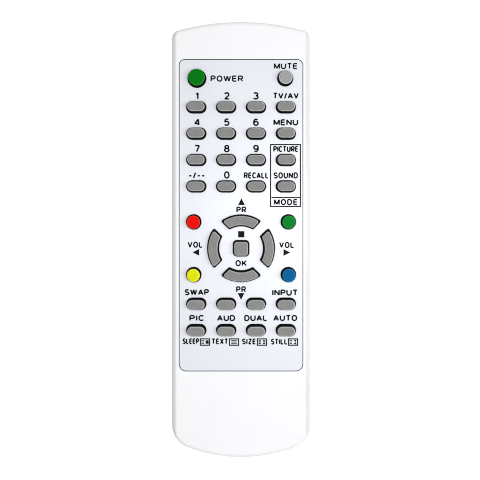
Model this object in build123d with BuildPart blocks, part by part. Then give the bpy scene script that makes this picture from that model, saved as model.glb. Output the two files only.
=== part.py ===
from build123d import *
import os
from math import atan2, cos, degrees, radians, sin

# Handheld remote control lying on its back: +X right, +Y towards the infrared end, +Z out of the keys.
# The origin is the middle of the back face. All lengths are in millimetres.

# Case plan
case_width = 50.0
case_length = 157.5
front_bow = 3.7
rear_bow = 6.1
front_corner_radius = 3.2
rear_corner_radius = 8.8

# Case walls and the seam between the two shells
side_wall = 2.0
back_wall = 1.8
face_wall = 1.8
split_height = 9.2
face_edge_share = 0.5
back_edge_share = 0.85
seam_bevel = 0.25
lip_height = 1.1
lip_thickness = 0.9
lip_gap = 0.1
overrun = 1.0

# Cells, their contacts and the bay that holds them
cell_diameter = 10.5
cell_length = 44.5
cell_nub_diameter = 3.8
cell_nub_length = 0.9
cell_edge_radius = 0.4
cell_spacing = 1.0
cell_clearance = 0.25
contact_thickness = 0.4
contact_width = 8.6
contact_height = 9.2
contact_tab_width = 2.0
contact_tab_gap = 0.3
spring_length = 4.7
spring_wire = 0.6
spring_turns = 4
spring_base_radius = 3.4
spring_tip_radius = 2.4
spring_tip_gap = 0.1
spring_seat_share = 0.4
bay_wall = 1.4
bay_ceiling = 1.0
bay_rear_margin = 6.4
contact_wall = 1.6
ledge_thickness = 1.2
ledge_width = 5.4

# Battery door
door_side_margin = 3.6
door_front_margin = 1.0
door_gap = 0.2
door_tongue_width = 1.2
door_tongue_thickness = 0.7
door_tongue_rear_margin = 9.0
door_tail_height = 7.0
grip_groove_width = 0.8
grip_groove_length = 13.0
grip_groove_depth = 0.5
grip_groove_pitch = 1.9
grip_groove_count = 6
grip_front_margin = 5.0
arrow_length = 3.4
arrow_width = 4.6
arrow_gap = 2.4

# Circuit board and the small parts under it
board_thickness = 1.2
board_front_margin = 10.5
board_rear_margin = 14.4
board_side_gap = 0.8
board_corner_radius = 1.5
screw_shank_radius = 0.9
screw_head_radius = 1.9
screw_head_height = 1.3
screw_head_edge_radius = 0.65
screw_length = 3.2
screw_bore_gap = 0.05
screw_hole_gap = 0.3
screw_slot_width = 0.5
screw_slot_depth = 0.5
boss_wall = 0.8
boss_bore_spare = 0.3
rear_screw_share = 0.67
post_radius = 1.5
post_inset = 3.2
chip_width = 7.5
chip_length = 17.9
chip_height = 2.3
chip_standoff = 0.1
chip_edge_bevel = 0.3
chip_leg_count = 14
chip_leg_pitch = 1.27
chip_leg_width = 0.42
chip_leg_reach = 1.3
chip_leg_thickness = 0.25
chip_from_board_front = 42.0
resonator_length = 7.0
resonator_width = 2.8
resonator_height = 5.0
resonator_from_chip = 14.0
capacitor_radius = 2.5
capacitor_length = 11.0
capacitor_edge_radius = 0.5
capacitor_gap = 0.1
capacitor_offset = 9.0
capacitor_from_board_front = 12.0
transistor_radius = 2.3
transistor_flat = 1.3
transistor_height = 4.6
transistor_lead = 0.5
transistor_lead_pitch = 1.27
transistor_standoff = 0.8
transistor_offset = 7.0
transistor_from_board_front = 8.0
resistor_length = 3.2
resistor_width = 1.6
resistor_height = 0.6
resistor_pitch = 4.4
resistor_count = 5
resistor_offset = 11.5

# Infrared lamp in the front wall
lamp_radius = 2.5
lamp_length = 8.6
lamp_dome_share = 0.8
lamp_flange_radius = 2.9
lamp_flange_thickness = 1.0
lamp_recess = 0.4
lamp_hole_gap = 0.2
lamp_lead = 0.5
lamp_lead_pitch = 2.54
lamp_lead_lap = 3.0

# Rubber mat
mat_base = 0.6
mat_dome = 0.4
mat_dome_inset = 0.3
mat_margin = 2.2
mat_side_gap = 1.2
mat_hole_gap = 0.35
mat_boss_gap = 0.4
mat_corner_radius = 2.0

# Face panel, a printed plate glued into a shallow recess
panel_side_margin = 2.6
panel_length = 112.4
panel_front_margin = 13.75
panel_front_corner = 2.2
panel_rear_corner = 2.7
panel_recess = 0.4
panel_thickness = 0.3
panel_edge_gap = 0.2
panel_hole_margin = 0.1

# Keys
key_rise = 2.2
key_travel = 0.8
press_margin = 0.1
foot_thickness = 0.8
foot_width = 0.9
foot_gap = 0.1
key_gap = 0.55
round_key_gap = 0.45
key_edge_radius = 0.5
pill_radius = 1.2
pill_gap = 0.05
oval_width = 6.25
oval_height = 3.4
power_radius = 2.95
mute_radius = 2.45
colour_radius = 2.35
ok_size = 4.9
ok_corner_radius = 0.95
ring_outer_radius = 11.7
ring_inner_radius = 8.45
ring_split = 2.25
ring_corner_radius = 0.7

# Key places, from the front edge of the panel
column_pitch_share = 0.24
row_pitch = 9.5
first_row_drop = 17.3
top_key_drop = 6.9
top_key_inset = 6.5
colour_key_inset = 5.35
ring_drop = 68.1
colour_key_spread = 9.5
lower_row_drop = 88.1

# Snap tabs that close the shells
tab_width = 6.0
tab_thickness = 1.15
tab_root = 3.0
tab_rise = 4.0
tab_gap = 0.15
tab_hook = 0.35
tab_hook_height = 1.0
tab_pitch = 48.0
tab_count = 3

# Names of the oval keys, row by row from the left
upper_rows = (
    ("key_digit_1", "key_digit_2", "key_digit_3", "key_source"),
    ("key_digit_4", "key_digit_5", "key_digit_6", "key_menu"),
    ("key_digit_7", "key_digit_8", "key_digit_9", "key_picture"),
    ("key_dash", "key_digit_0", "key_recall", "key_sound"),
)
lower_rows = (
    ("key_swap", "key_plain_left", "key_plain_right", "key_input"),
    ("key_sleep", "key_text", "key_size", "key_still"),
)

# Heights, stacked up from the back face
cell_axis_z = back_wall + cell_clearance + cell_diameter / 2
ceiling_bottom = cell_axis_z + cell_diameter / 2 + cell_clearance
board_bottom = ceiling_bottom + bay_ceiling
board_top = board_bottom + board_thickness
mat_top = board_top + mat_base + mat_dome
foot_bottom = mat_top + key_travel + press_margin
foot_top = foot_bottom + foot_thickness
face_underside = foot_top + foot_gap
case_height = face_underside + face_wall
panel_floor = case_height - panel_recess
pill_bottom = board_top + key_travel + pill_gap
lamp_axis_z = board_bottom - lamp_lead / 2
face_edge_radius = front_corner_radius * face_edge_share
back_edge_radius = front_corner_radius * back_edge_share

# Places along the case
front_end = case_length / 2
rear_end = -case_length / 2
bay_rear = rear_end + bay_rear_margin
bay_front = bay_rear + cell_length + spring_length + 2 * contact_thickness
bay_width = 2 * cell_diameter + cell_spacing + 2 * cell_clearance
cell_x = (cell_diameter + cell_spacing) / 2
door_width = bay_width + 2 * door_side_margin
door_front = bay_front + contact_wall + door_front_margin
door_thickness = back_wall - door_gap
door_lip = back_wall - door_tongue_thickness - 2 * door_gap
board_front = front_end - board_front_margin
board_width = case_width - 2 * side_wall - 2 * board_side_gap
panel_front = front_end - panel_front_margin
panel_rear = panel_front - panel_length
panel_width = case_width - 2 * panel_side_margin
column_pitch = panel_width * column_pitch_share
first_row = panel_front - first_row_drop
lower_row = panel_front - lower_row_drop
last_lower_row = lower_row - (len(lower_rows) - 1) * row_pitch
board_rear = last_lower_row - board_rear_margin
ring_y = panel_front - ring_drop
lamp_base = front_end - lamp_recess - lamp_length
chip_y = board_front - chip_from_board_front
screw_x = column_pitch
last_upper_row = first_row - (len(upper_rows) - 1) * row_pitch
screw_rows = (first_row - row_pitch / 2, last_upper_row - row_pitch * rear_screw_share)
screw_places = [(side * screw_x, y) for side in (-1, 1) for y in screw_rows]
screw_bore_radius = screw_shank_radius + screw_bore_gap
boss_radius = screw_bore_radius + boss_wall
post_x = board_width / 2 - post_inset
post_rows = (board_front - post_inset, chip_y - chip_length)
ledge_rear = bay_rear - contact_wall

# Each key has a shape, a place and, for the ring of four, the way it faces in degrees.
top_key_x = panel_width / 2 - top_key_inset
colour_key_x = panel_width / 2 - colour_key_inset
keys = {
    "key_power": ("power", -top_key_x, panel_front - top_key_drop, 0),
    "key_mute": ("mute", top_key_x, panel_front - top_key_drop, 0),
    "key_red": ("colour", -colour_key_x, ring_y + colour_key_spread, 0),
    "key_green": ("colour", colour_key_x, ring_y + colour_key_spread, 0),
    "key_yellow": ("colour", -colour_key_x, ring_y - colour_key_spread, 0),
    "key_blue": ("colour", colour_key_x, ring_y - colour_key_spread, 0),
    "key_ok": ("ok", 0, ring_y, 0),
    "key_channel_up": ("ring", 0, ring_y, 0),
    "key_volume_down": ("ring", 0, ring_y, 90),
    "key_channel_down": ("ring", 0, ring_y, 180),
    "key_volume_up": ("ring", 0, ring_y, 270),
}
for top_row, rows in ((first_row, upper_rows), (lower_row, lower_rows)):
    for row, names in enumerate(rows):
        for column, name in enumerate(names):
            key_x = (column - (len(names) - 1) / 2) * column_pitch
            keys[name] = ("oval", key_x, top_row - row * row_pitch, 0)

round_key_radii = {"power": power_radius, "mute": mute_radius, "colour": colour_radius}
hole_gaps = {"oval": key_gap, "ring": key_gap, "ok": key_gap}


def plan(z):
    return Plane.XY.offset(z)


def facing_rear(y):
    return Plane.XZ.offset(-y)


def facing_front(y):
    return Plane(origin=(0, y, 0), x_dir=(-1, 0, 0), z_dir=(0, 1, 0))


def case_outline(inset):
    half = case_width / 2
    front_side = front_end - front_bow
    rear_side = rear_end + rear_bow
    with BuildSketch() as outline:
        with BuildLine():
            Line((-half, rear_side), (-half, front_side))
            ThreePointArc((-half, front_side), (0, front_end), (half, front_side))
            Line((half, front_side), (half, rear_side))
            ThreePointArc((half, rear_side), (0, rear_end), (-half, rear_side))
        make_face()
        fillet(outline.vertices().group_by(Axis.Y)[-1], front_corner_radius)
        fillet(outline.vertices().group_by(Axis.Y)[0], rear_corner_radius)
        if inset > 0:
            offset(amount=-inset)
    return outline.sketch


def block_outline(width, rear, front, front_radius, rear_radius):
    with BuildSketch() as outline:
        with Locations((0, (front + rear) / 2)):
            Rectangle(width, front - rear)
        fillet(outline.vertices().group_by(Axis.Y)[-1], front_radius)
        fillet(outline.vertices().group_by(Axis.Y)[0], rear_radius)
    return outline.sketch


def key_outline(name, grow):
    shape, x, y, turn = keys[name]
    with BuildSketch() as outline:
        with Locations(Location((x, y, 0), (0, 0, turn))):
            if shape == "oval":
                SlotOverall(oval_width + 2 * grow, oval_height + 2 * grow)
            elif shape == "ok":
                RectangleRounded(ok_size + 2 * grow, ok_size + 2 * grow, ok_corner_radius + grow)
            elif shape == "ring":
                reach = ring_outer_radius + grow
                band = 2 * (ring_split - grow)
                Circle(reach)
                Circle(ring_inner_radius - grow, mode=Mode.SUBTRACT)
                Rectangle(2 * reach, band, rotation=45, mode=Mode.SUBTRACT)
                Rectangle(2 * reach, band, rotation=-45, mode=Mode.SUBTRACT)
                Polygon((0, 0), (reach, reach), (-reach, reach), align=None, mode=Mode.INTERSECT)
            else:
                Circle(round_key_radii[shape] + grow)
        if shape == "ring":
            fillet(outline.vertices(), ring_corner_radius)
    return outline.sketch


def hole_outline(name, margin):
    return key_outline(name, hole_gaps.get(keys[name][0], round_key_gap) + margin)


def pill_place(name):
    shape, x, y, turn = keys[name]
    if shape != "ring":
        return (x, y)
    middle = (ring_outer_radius + ring_inner_radius) / 2
    return (x - middle * sin(radians(turn)), y + middle * cos(radians(turn)))


def finish(piece, name):
    piece.part.label = name
    export_step(piece.part, f"parts/{name}.step")


os.makedirs("parts", exist_ok=True)
outer_outline = case_outline(0)
inner_outline = case_outline(side_wall)
lip_outline = case_outline(side_wall - lip_thickness)
rebate_outline = case_outline(side_wall - lip_thickness - lip_gap)
door_inner_outline = case_outline(door_thickness)
holes = {name: hole_outline(name, 0) for name in keys}
panel_holes = {name: hole_outline(name, panel_hole_margin) for name in keys}
domes = {name: key_outline(name, foot_width - mat_dome_inset) for name in keys}

# Top case: the white front shell with the key holes, screw bosses and lamp hole.
with BuildPart() as top_case:
    with BuildSketch(plan(split_height)):
        add(outer_outline)
    extrude(amount=case_height - split_height)
    fillet(top_case.faces().sort_by(Axis.Z)[-1].edges(), face_edge_radius)
    chamfer(top_case.faces().sort_by(Axis.Z)[0].edges(), seam_bevel)
    with BuildSketch(plan(split_height)):
        add(inner_outline)
    extrude(amount=face_underside - split_height, mode=Mode.SUBTRACT)
    with BuildSketch(plan(split_height)):
        add(rebate_outline)
    extrude(amount=lip_height + lip_gap, mode=Mode.SUBTRACT)
    with BuildSketch(plan(panel_floor)):
        add(block_outline(panel_width, panel_rear, panel_front, panel_front_corner, panel_rear_corner))
    extrude(amount=panel_recess + overrun, mode=Mode.SUBTRACT)
    with BuildSketch(plan(face_underside)):
        add(holes.values())
    extrude(amount=face_wall, mode=Mode.SUBTRACT)
    with BuildSketch(plan(board_top)):
        with Locations(screw_places):
            Circle(boss_radius)
    extrude(amount=face_underside - board_top)
    with BuildSketch(plan(board_top)):
        with Locations(screw_places):
            Circle(screw_bore_radius)
    extrude(amount=screw_length - board_thickness + boss_bore_spare, mode=Mode.SUBTRACT)
    with BuildSketch(facing_front(lamp_base)):
        with Locations((0, lamp_axis_z)):
            Circle(lamp_radius + lamp_hole_gap)
    extrude(amount=front_end - lamp_base + overrun, mode=Mode.SUBTRACT)
    hook_z = split_height + tab_rise - tab_hook_height / 2
    groove_reach = case_width / 2 - side_wall - tab_gap + tab_hook + lip_gap
    with BuildSketch(Plane.YZ):
        with Locations((0, hook_z)):
            with GridLocations(tab_pitch, 0, tab_count, 1):
                Rectangle(tab_width + 2 * tab_gap, tab_hook_height + 2 * tab_gap)
    extrude(amount=groove_reach, both=True, mode=Mode.SUBTRACT)
finish(top_case, "top_case")

# Bottom case: the back shell with the cell bay, the door channel, board posts and snap tabs.
with BuildPart() as bottom_cavity:
    with BuildSketch(plan(back_wall)):
        add(inner_outline)
    extrude(amount=split_height + lip_height + overrun)
    fillet(bottom_cavity.faces().sort_by(Axis.Z)[0].edges(), back_edge_radius - back_wall)

with BuildPart() as bottom_case:
    with BuildSketch(plan(0)):
        add(outer_outline)
    extrude(amount=split_height)
    fillet(bottom_case.faces().sort_by(Axis.Z)[0].edges(), back_edge_radius)
    chamfer(bottom_case.faces().sort_by(Axis.Z)[-1].edges(), seam_bevel)
    with BuildSketch(plan(split_height - lip_height)):
        add(lip_outline)
    extrude(amount=2 * lip_height)
    add(bottom_cavity.part, mode=Mode.SUBTRACT)
    bay_middle = (bay_front + bay_rear) / 2
    bay_length = bay_front - bay_rear
    with BuildSketch(plan(back_wall)):
        with Locations((0, (door_front + door_tongue_width + ledge_width / 2 + ledge_rear) / 2)):
            Rectangle(
                bay_width + 2 * (bay_wall + ledge_width),
                door_front + door_tongue_width + ledge_width / 2 - ledge_rear,
            )
    extrude(amount=ledge_thickness)
    with BuildSketch(plan(back_wall)):
        with Locations((0, bay_middle)):
            Rectangle(bay_width + 2 * bay_wall, bay_length + 2 * contact_wall)
    extrude(amount=board_bottom - back_wall)
    with BuildSketch(plan(0)):
        with Locations((0, bay_middle)):
            Rectangle(bay_width, bay_length)
    extrude(amount=ceiling_bottom, mode=Mode.SUBTRACT)
    with BuildSketch(plan(ceiling_bottom)):
        with Locations((0, bay_front - contact_thickness / 2)):
            with GridLocations(2 * cell_x, 0, 2, 1):
                Rectangle(contact_tab_width + 2 * contact_tab_gap, contact_thickness + 2 * contact_tab_gap)
    extrude(amount=bay_ceiling, mode=Mode.SUBTRACT)
    door_opening = door_width + 2 * door_gap
    door_reach = door_front + door_gap - rear_end + overrun
    with BuildSketch(plan(0)):
        with Locations((0, door_front + door_gap - door_reach / 2)):
            Rectangle(door_opening, door_reach)
    extrude(amount=back_wall, mode=Mode.SUBTRACT)
    tail_reach = ledge_rear - rear_end + overrun
    with BuildSketch(plan(0)):
        with Locations((0, ledge_rear - tail_reach / 2)):
            Rectangle(door_opening, tail_reach)
    extrude(amount=door_tail_height + door_gap, mode=Mode.SUBTRACT)
    channel_front = door_front + door_tongue_width + door_gap
    channel_length = channel_front - rear_end + overrun
    with BuildSketch(plan(door_lip)):
        with Locations((0, channel_front - channel_length / 2)):
            Rectangle(door_opening + 2 * door_tongue_width, channel_length)
    extrude(amount=back_wall - door_lip, mode=Mode.SUBTRACT)
    with BuildSketch(plan(back_wall)):
        with Locations([(side * post_x, y) for side in (-1, 1) for y in post_rows]):
            Circle(post_radius)
    extrude(amount=board_bottom - back_wall)
    inner_face = case_width / 2 - side_wall
    tab_face = inner_face - tab_gap
    for side in (-1, 1):
        with BuildSketch(Plane.XZ):
            with BuildLine():
                Polyline(
                    (side * inner_face, split_height - tab_root),
                    (side * inner_face, split_height + lip_height),
                    (side * tab_face, split_height + lip_height),
                    (side * tab_face, split_height + tab_rise - tab_hook_height),
                    (side * (tab_face + tab_hook), split_height + tab_rise - tab_hook_height / 2),
                    (side * tab_face, split_height + tab_rise),
                    (side * (tab_face - tab_thickness), split_height + tab_rise),
                    (side * (tab_face - tab_thickness), split_height - tab_root),
                    close=True,
                )
            make_face()
        tab_faces = bottom_case.pending_faces[:]
        bottom_case.pending_faces.clear()
        for step in range(tab_count):
            tab_y = (step - (tab_count - 1) / 2) * tab_pitch
            for face in tab_faces:
                extrude(face.moved(Location((0, tab_y, 0))), amount=tab_width / 2, both=True)
finish(bottom_case, "bottom_case")

# Battery door: a plate with a turned-up tail, held by tongues in the channel of the bottom case.
with BuildPart() as door_core:
    with BuildSketch(plan(door_thickness)):
        add(door_inner_outline)
    extrude(amount=split_height)
    fillet(door_core.faces().sort_by(Axis.Z)[0].edges(), back_edge_radius - door_thickness)

with BuildPart() as battery_door:
    with BuildSketch(plan(0)):
        add(outer_outline)
    extrude(amount=split_height)
    fillet(battery_door.faces().sort_by(Axis.Z)[0].edges(), back_edge_radius)
    add(door_core.part, mode=Mode.SUBTRACT)
    door_length = door_front - rear_end
    with BuildSketch(plan(0)):
        with Locations((0, door_front - door_length / 2)):
            Rectangle(door_width, door_length)
    extrude(amount=door_tail_height, mode=Mode.INTERSECT)
    tongue_rear = rear_end + door_tongue_rear_margin
    tongue_front = door_front + door_tongue_width
    with BuildSketch(plan(door_lip + door_gap)):
        with Locations((0, (tongue_front + tongue_rear) / 2)):
            Rectangle(door_width + 2 * door_tongue_width, tongue_front - tongue_rear)
    extrude(amount=door_tongue_thickness)
    grip_y = door_front - grip_front_margin - (grip_groove_count - 1) * grip_groove_pitch / 2
    with BuildSketch(plan(0)):
        with Locations((0, grip_y)):
            with GridLocations(0, grip_groove_pitch, 1, grip_groove_count):
                SlotOverall(grip_groove_length, grip_groove_width)
        arrow_top = grip_y - (grip_groove_count - 1) * grip_groove_pitch / 2 - arrow_gap
        Polygon(
            (-arrow_width / 2, arrow_top),
            (arrow_width / 2, arrow_top),
            (0, arrow_top - arrow_length),
            align=None,
        )
    extrude(amount=grip_groove_depth, mode=Mode.SUBTRACT)
finish(battery_door, "battery_door")

# Face panel: the printed plate, with a hole round every key.
with BuildPart() as face_panel:
    with BuildSketch(plan(panel_floor)):
        add(
            block_outline(
                panel_width - 2 * panel_edge_gap,
                panel_rear + panel_edge_gap,
                panel_front - panel_edge_gap,
                panel_front_corner - panel_edge_gap,
                panel_rear_corner - panel_edge_gap,
            )
        )
        add(panel_holes.values(), mode=Mode.SUBTRACT)
    extrude(amount=panel_thickness)
finish(face_panel, "face_panel")

# Keypad mat: a rubber sheet with a raised pad and a well under every key.
mat_front = panel_front - mat_margin
mat_rear = last_lower_row - oval_height / 2 - foot_width - mat_margin
with BuildPart() as keypad_mat:
    with BuildSketch(plan(board_top)):
        add(
            block_outline(
                board_width - 2 * mat_side_gap, mat_rear, mat_front, mat_corner_radius, mat_corner_radius
            )
        )
    extrude(amount=mat_base)
    with BuildSketch(plan(board_top + mat_base)):
        add(domes.values())
    extrude(amount=mat_dome)
    with BuildSketch(plan(board_top)):
        with Locations([pill_place(name) for name in keys]):
            Circle(pill_radius + mat_hole_gap)
        with Locations(screw_places):
            Circle(boss_radius + mat_boss_gap)
    extrude(amount=mat_base + mat_dome, mode=Mode.SUBTRACT)
finish(keypad_mat, "keypad_mat")

# Circuit board with its screw holes and the slots for the contact tabs.
with BuildPart() as circuit_board:
    with BuildSketch(plan(board_bottom)):
        add(block_outline(board_width, board_rear, board_front, board_corner_radius, board_corner_radius))
        with Locations(screw_places):
            Circle(screw_shank_radius + screw_hole_gap, mode=Mode.SUBTRACT)
        with Locations((0, bay_front - contact_thickness / 2)):
            with GridLocations(2 * cell_x, 0, 2, 1):
                Rectangle(
                    contact_tab_width + 2 * contact_tab_gap,
                    contact_thickness + 2 * contact_tab_gap,
                    mode=Mode.SUBTRACT,
                )
    extrude(amount=board_thickness)
finish(circuit_board, "circuit_board")

# Board screws: four pan-head screws, driven up through the board into the bosses.
with BuildPart() as board_screws:
    with BuildSketch(plan(board_bottom - screw_head_height)):
        with Locations(screw_places):
            Circle(screw_head_radius)
    extrude(amount=screw_head_height)
    fillet(board_screws.faces().group_by(Axis.Z)[0].edges(), screw_head_edge_radius)
    with BuildSketch(plan(board_bottom)):
        with Locations(screw_places):
            Circle(screw_shank_radius)
    extrude(amount=screw_length)
    with BuildSketch(plan(board_bottom - screw_head_height)):
        for turn in (0, 90):
            with Locations(screw_places):
                Rectangle(screw_head_radius, screw_slot_width, rotation=turn)
    extrude(amount=screw_slot_depth, mode=Mode.SUBTRACT)
finish(board_screws, "board_screws")

# Infrared lamp: a domed lens with a flange and two leads that lie under the board.
with BuildPart() as ir_lamp:
    with BuildSketch(facing_front(lamp_base)):
        with Locations((0, lamp_axis_z)):
            Circle(lamp_flange_radius)
    extrude(amount=lamp_flange_thickness)
    with BuildSketch(facing_front(lamp_base)):
        with Locations((0, lamp_axis_z)):
            Circle(lamp_radius)
    extrude(amount=lamp_length)
    fillet(ir_lamp.faces().sort_by(Axis.Y)[-1].edges(), lamp_radius * lamp_dome_share)
    lead_length = lamp_base - board_front + lamp_lead_lap
    with BuildSketch(facing_rear(lamp_base)):
        with Locations((0, lamp_axis_z)):
            with GridLocations(lamp_lead_pitch, 0, 2, 1):
                Rectangle(lamp_lead, lamp_lead)
    extrude(amount=lead_length)
finish(ir_lamp, "ir_lamp")

# Control chip with its two rows of legs.
with BuildPart() as control_chip:
    with BuildSketch(plan(board_bottom - chip_standoff - chip_height)):
        with Locations((0, chip_y)):
            Rectangle(chip_width, chip_length)
    extrude(amount=chip_height)
    chamfer(control_chip.faces().sort_by(Axis.Z)[0].edges(), chip_edge_bevel)
    with BuildSketch(plan(board_bottom - chip_leg_thickness)):
        with Locations((0, chip_y)):
            with GridLocations(0, chip_leg_pitch, 1, chip_leg_count):
                Rectangle(chip_width + 2 * chip_leg_reach, chip_leg_width)
    extrude(amount=chip_leg_thickness)
finish(control_chip, "control_chip")

# Ceramic resonator.
with BuildPart() as resonator:
    with BuildSketch(plan(board_bottom - resonator_height)):
        with Locations((0, chip_y + resonator_from_chip)):
            SlotOverall(resonator_length, resonator_width)
    extrude(amount=resonator_height)
finish(resonator, "resonator")

# Smoothing capacitor, lying along the board.
with BuildPart() as smoothing_capacitor:
    with BuildSketch(facing_rear(board_front - capacitor_from_board_front)):
        with Locations((-capacitor_offset, board_bottom - capacitor_gap - capacitor_radius)):
            Circle(capacitor_radius)
    extrude(amount=capacitor_length)
    fillet(smoothing_capacitor.edges().filter_by(GeomType.CIRCLE), capacitor_edge_radius)
finish(smoothing_capacitor, "smoothing_capacitor")

# Lamp driver transistor, hanging on three leads.
transistor_y = board_front - transistor_from_board_front
with BuildPart() as lamp_transistor:
    with BuildSketch(plan(board_bottom - transistor_standoff - transistor_height)):
        with Locations((transistor_offset, transistor_y)):
            Circle(transistor_radius)
        with Locations((transistor_offset, transistor_y - transistor_flat - transistor_radius / 2)):
            Rectangle(2 * transistor_radius, transistor_radius, mode=Mode.SUBTRACT)
    extrude(amount=transistor_height)
    with BuildSketch(plan(board_bottom - transistor_standoff)):
        with Locations((transistor_offset, transistor_y)):
            with GridLocations(transistor_lead_pitch, 0, 3, 1):
                Rectangle(transistor_lead, transistor_lead)
    extrude(amount=transistor_standoff)
finish(lamp_transistor, "lamp_transistor")

# Chip resistors in a row beside the control chip.
with BuildPart() as board_resistors:
    with BuildSketch(plan(board_bottom - resistor_height)):
        with Locations((resistor_offset, chip_y)):
            with GridLocations(0, resistor_pitch, 1, resistor_count):
                Rectangle(resistor_length, resistor_width)
    extrude(amount=resistor_height)
finish(board_resistors, "board_resistors")


def draw_cell(name, x, plus_end, way):
    body_start = plus_end - way * cell_nub_length
    plane = facing_rear if way > 0 else facing_front
    with BuildPart() as cell:
        with BuildSketch(plane(plus_end)):
            with Locations((way * x, cell_axis_z)):
                Circle(cell_nub_diameter / 2)
        extrude(amount=cell_nub_length)
        with BuildSketch(plane(body_start)):
            with Locations((way * x, cell_axis_z)):
                Circle(cell_diameter / 2)
        extrude(amount=cell_length - cell_nub_length)
        rims = cell.edges().filter_by(GeomType.CIRCLE)
        fillet(rims.filter_by(lambda rim: rim.radius > cell_nub_diameter), cell_edge_radius)
    finish(cell, name)


# Two cells side by side, the left one with its positive end to the front.
draw_cell("cell_left", -cell_x, bay_front - contact_thickness, 1)
draw_cell("cell_right", cell_x, bay_rear + contact_thickness, -1)


def wind_spring(x, plate_face, way):
    seat = plate_face + way * spring_wire * spring_seat_share
    height = spring_length - spring_wire - spring_tip_gap
    taper = degrees(atan2(spring_base_radius - spring_tip_radius, height))
    with BuildPart() as spring:
        with BuildLine() as coil:
            Helix(
                pitch=height / spring_turns,
                height=height,
                radius=spring_base_radius,
                center=(x, seat, cell_axis_z),
                direction=(0, way, 0),
                cone_angle=-taper,
            )
        with BuildSketch(Plane(origin=coil.line @ 0, z_dir=coil.line % 0)):
            Circle(spring_wire / 2)
        sweep(path=coil.line)
    return spring.part


# Contacts: a sprung one and a plain one at the front, and one strip across both cells at the rear.
tab_top = board_bottom + board_thickness / 2
minus_spring = wind_spring(cell_x, bay_front - contact_thickness, -1)
bridge_spring = wind_spring(-cell_x, bay_rear + contact_thickness, 1)
with BuildPart() as contact_plus:
    with BuildSketch(facing_rear(bay_front)):
        with Locations((-cell_x, cell_axis_z)):
            Rectangle(contact_width, contact_height)
        with Locations((-cell_x, (cell_axis_z + tab_top) / 2)):
            Rectangle(contact_tab_width, tab_top - cell_axis_z)
    extrude(amount=contact_thickness)
finish(contact_plus, "contact_plus")

with BuildPart() as contact_minus:
    with BuildSketch(facing_rear(bay_front)):
        with Locations((cell_x, cell_axis_z)):
            Rectangle(contact_width, contact_height)
        with Locations((cell_x, (cell_axis_z + tab_top) / 2)):
            Rectangle(contact_tab_width, tab_top - cell_axis_z)
    extrude(amount=contact_thickness)
    add(minus_spring)
finish(contact_minus, "contact_minus")

with BuildPart() as contact_bridge:
    with BuildSketch(facing_front(bay_rear)):
        with Locations((0, cell_axis_z)):
            Rectangle(2 * cell_x + contact_width, contact_height)
    extrude(amount=contact_thickness)
    add(bridge_spring)
finish(contact_bridge, "contact_bridge")

# Keys: a cap that stands out of the face, a foot that stops it behind the face, and a contact pill.
for name in keys:
    pill_x, pill_y = pill_place(name)
    with BuildPart() as key:
        with BuildSketch(plan(foot_bottom)):
            add(key_outline(name, foot_width))
        extrude(amount=foot_thickness)
        with BuildSketch(plan(foot_top)):
            add(key_outline(name, 0))
        extrude(amount=case_height + key_rise - foot_top)
        fillet(key.faces().sort_by(Axis.Z)[-1].edges(), key_edge_radius)
        with BuildSketch(plan(pill_bottom)):
            with Locations((pill_x, pill_y)):
                Circle(pill_radius)
        extrude(amount=foot_bottom - pill_bottom)
    finish(key, name)
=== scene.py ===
"""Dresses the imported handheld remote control: its finishes, printed legends, board details and studio."""

import logging
from dataclasses import dataclass, field
from enum import Enum
from math import cos, radians, sin
from typing import Any, Callable, Mapping, Union

import bmesh
import bpy
from mathutils import Matrix, Vector


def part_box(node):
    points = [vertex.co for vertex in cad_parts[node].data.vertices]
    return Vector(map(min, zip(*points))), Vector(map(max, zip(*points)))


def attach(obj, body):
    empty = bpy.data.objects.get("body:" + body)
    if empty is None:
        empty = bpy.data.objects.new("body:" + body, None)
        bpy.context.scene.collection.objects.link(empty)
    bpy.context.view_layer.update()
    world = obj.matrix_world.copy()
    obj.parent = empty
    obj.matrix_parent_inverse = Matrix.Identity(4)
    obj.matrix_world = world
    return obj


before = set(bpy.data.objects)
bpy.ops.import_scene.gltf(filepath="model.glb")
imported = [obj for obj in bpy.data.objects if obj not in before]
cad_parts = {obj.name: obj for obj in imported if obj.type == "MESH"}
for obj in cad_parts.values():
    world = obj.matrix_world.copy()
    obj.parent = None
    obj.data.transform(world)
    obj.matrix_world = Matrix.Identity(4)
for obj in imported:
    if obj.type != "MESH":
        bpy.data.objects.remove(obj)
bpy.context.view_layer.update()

log = logging.getLogger("remote_control")

MM = 0.001
FACE_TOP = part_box("face_panel")[1].z
PLATE_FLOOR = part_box("face_panel")[0].z
# Radii of the plate's front and rear corners.
PLATE_CORNERS = (2.0 * MM, 2.5 * MM)
KEY_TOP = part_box("key_ok")[1].z
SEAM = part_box("top_case")[0].z
BOARD_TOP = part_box("circuit_board")[1].z
BOARD_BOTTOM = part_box("circuit_board")[0].z
KEY_NAMES = sorted(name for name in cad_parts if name.startswith("key_"))

Colour = tuple[float, float, float]
Operand = Union["Field", list["Field"], float, int, Colour, Vector, bpy.types.Material]

WHITE: Colour = (1.0, 1.0, 1.0)
TINNED: Colour = (0.62, 0.62, 0.6)


def middle(node: str) -> Vector:
    """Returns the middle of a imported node's box."""
    low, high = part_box(node)
    return (low + high) / 2


def blended(first: Colour, second: Colour, share: float) -> Colour:
    """Returns a colour that lies a share of the way from the first to the second."""
    return tuple(a + (b - a) * share for a, b in zip(first, second))


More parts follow.
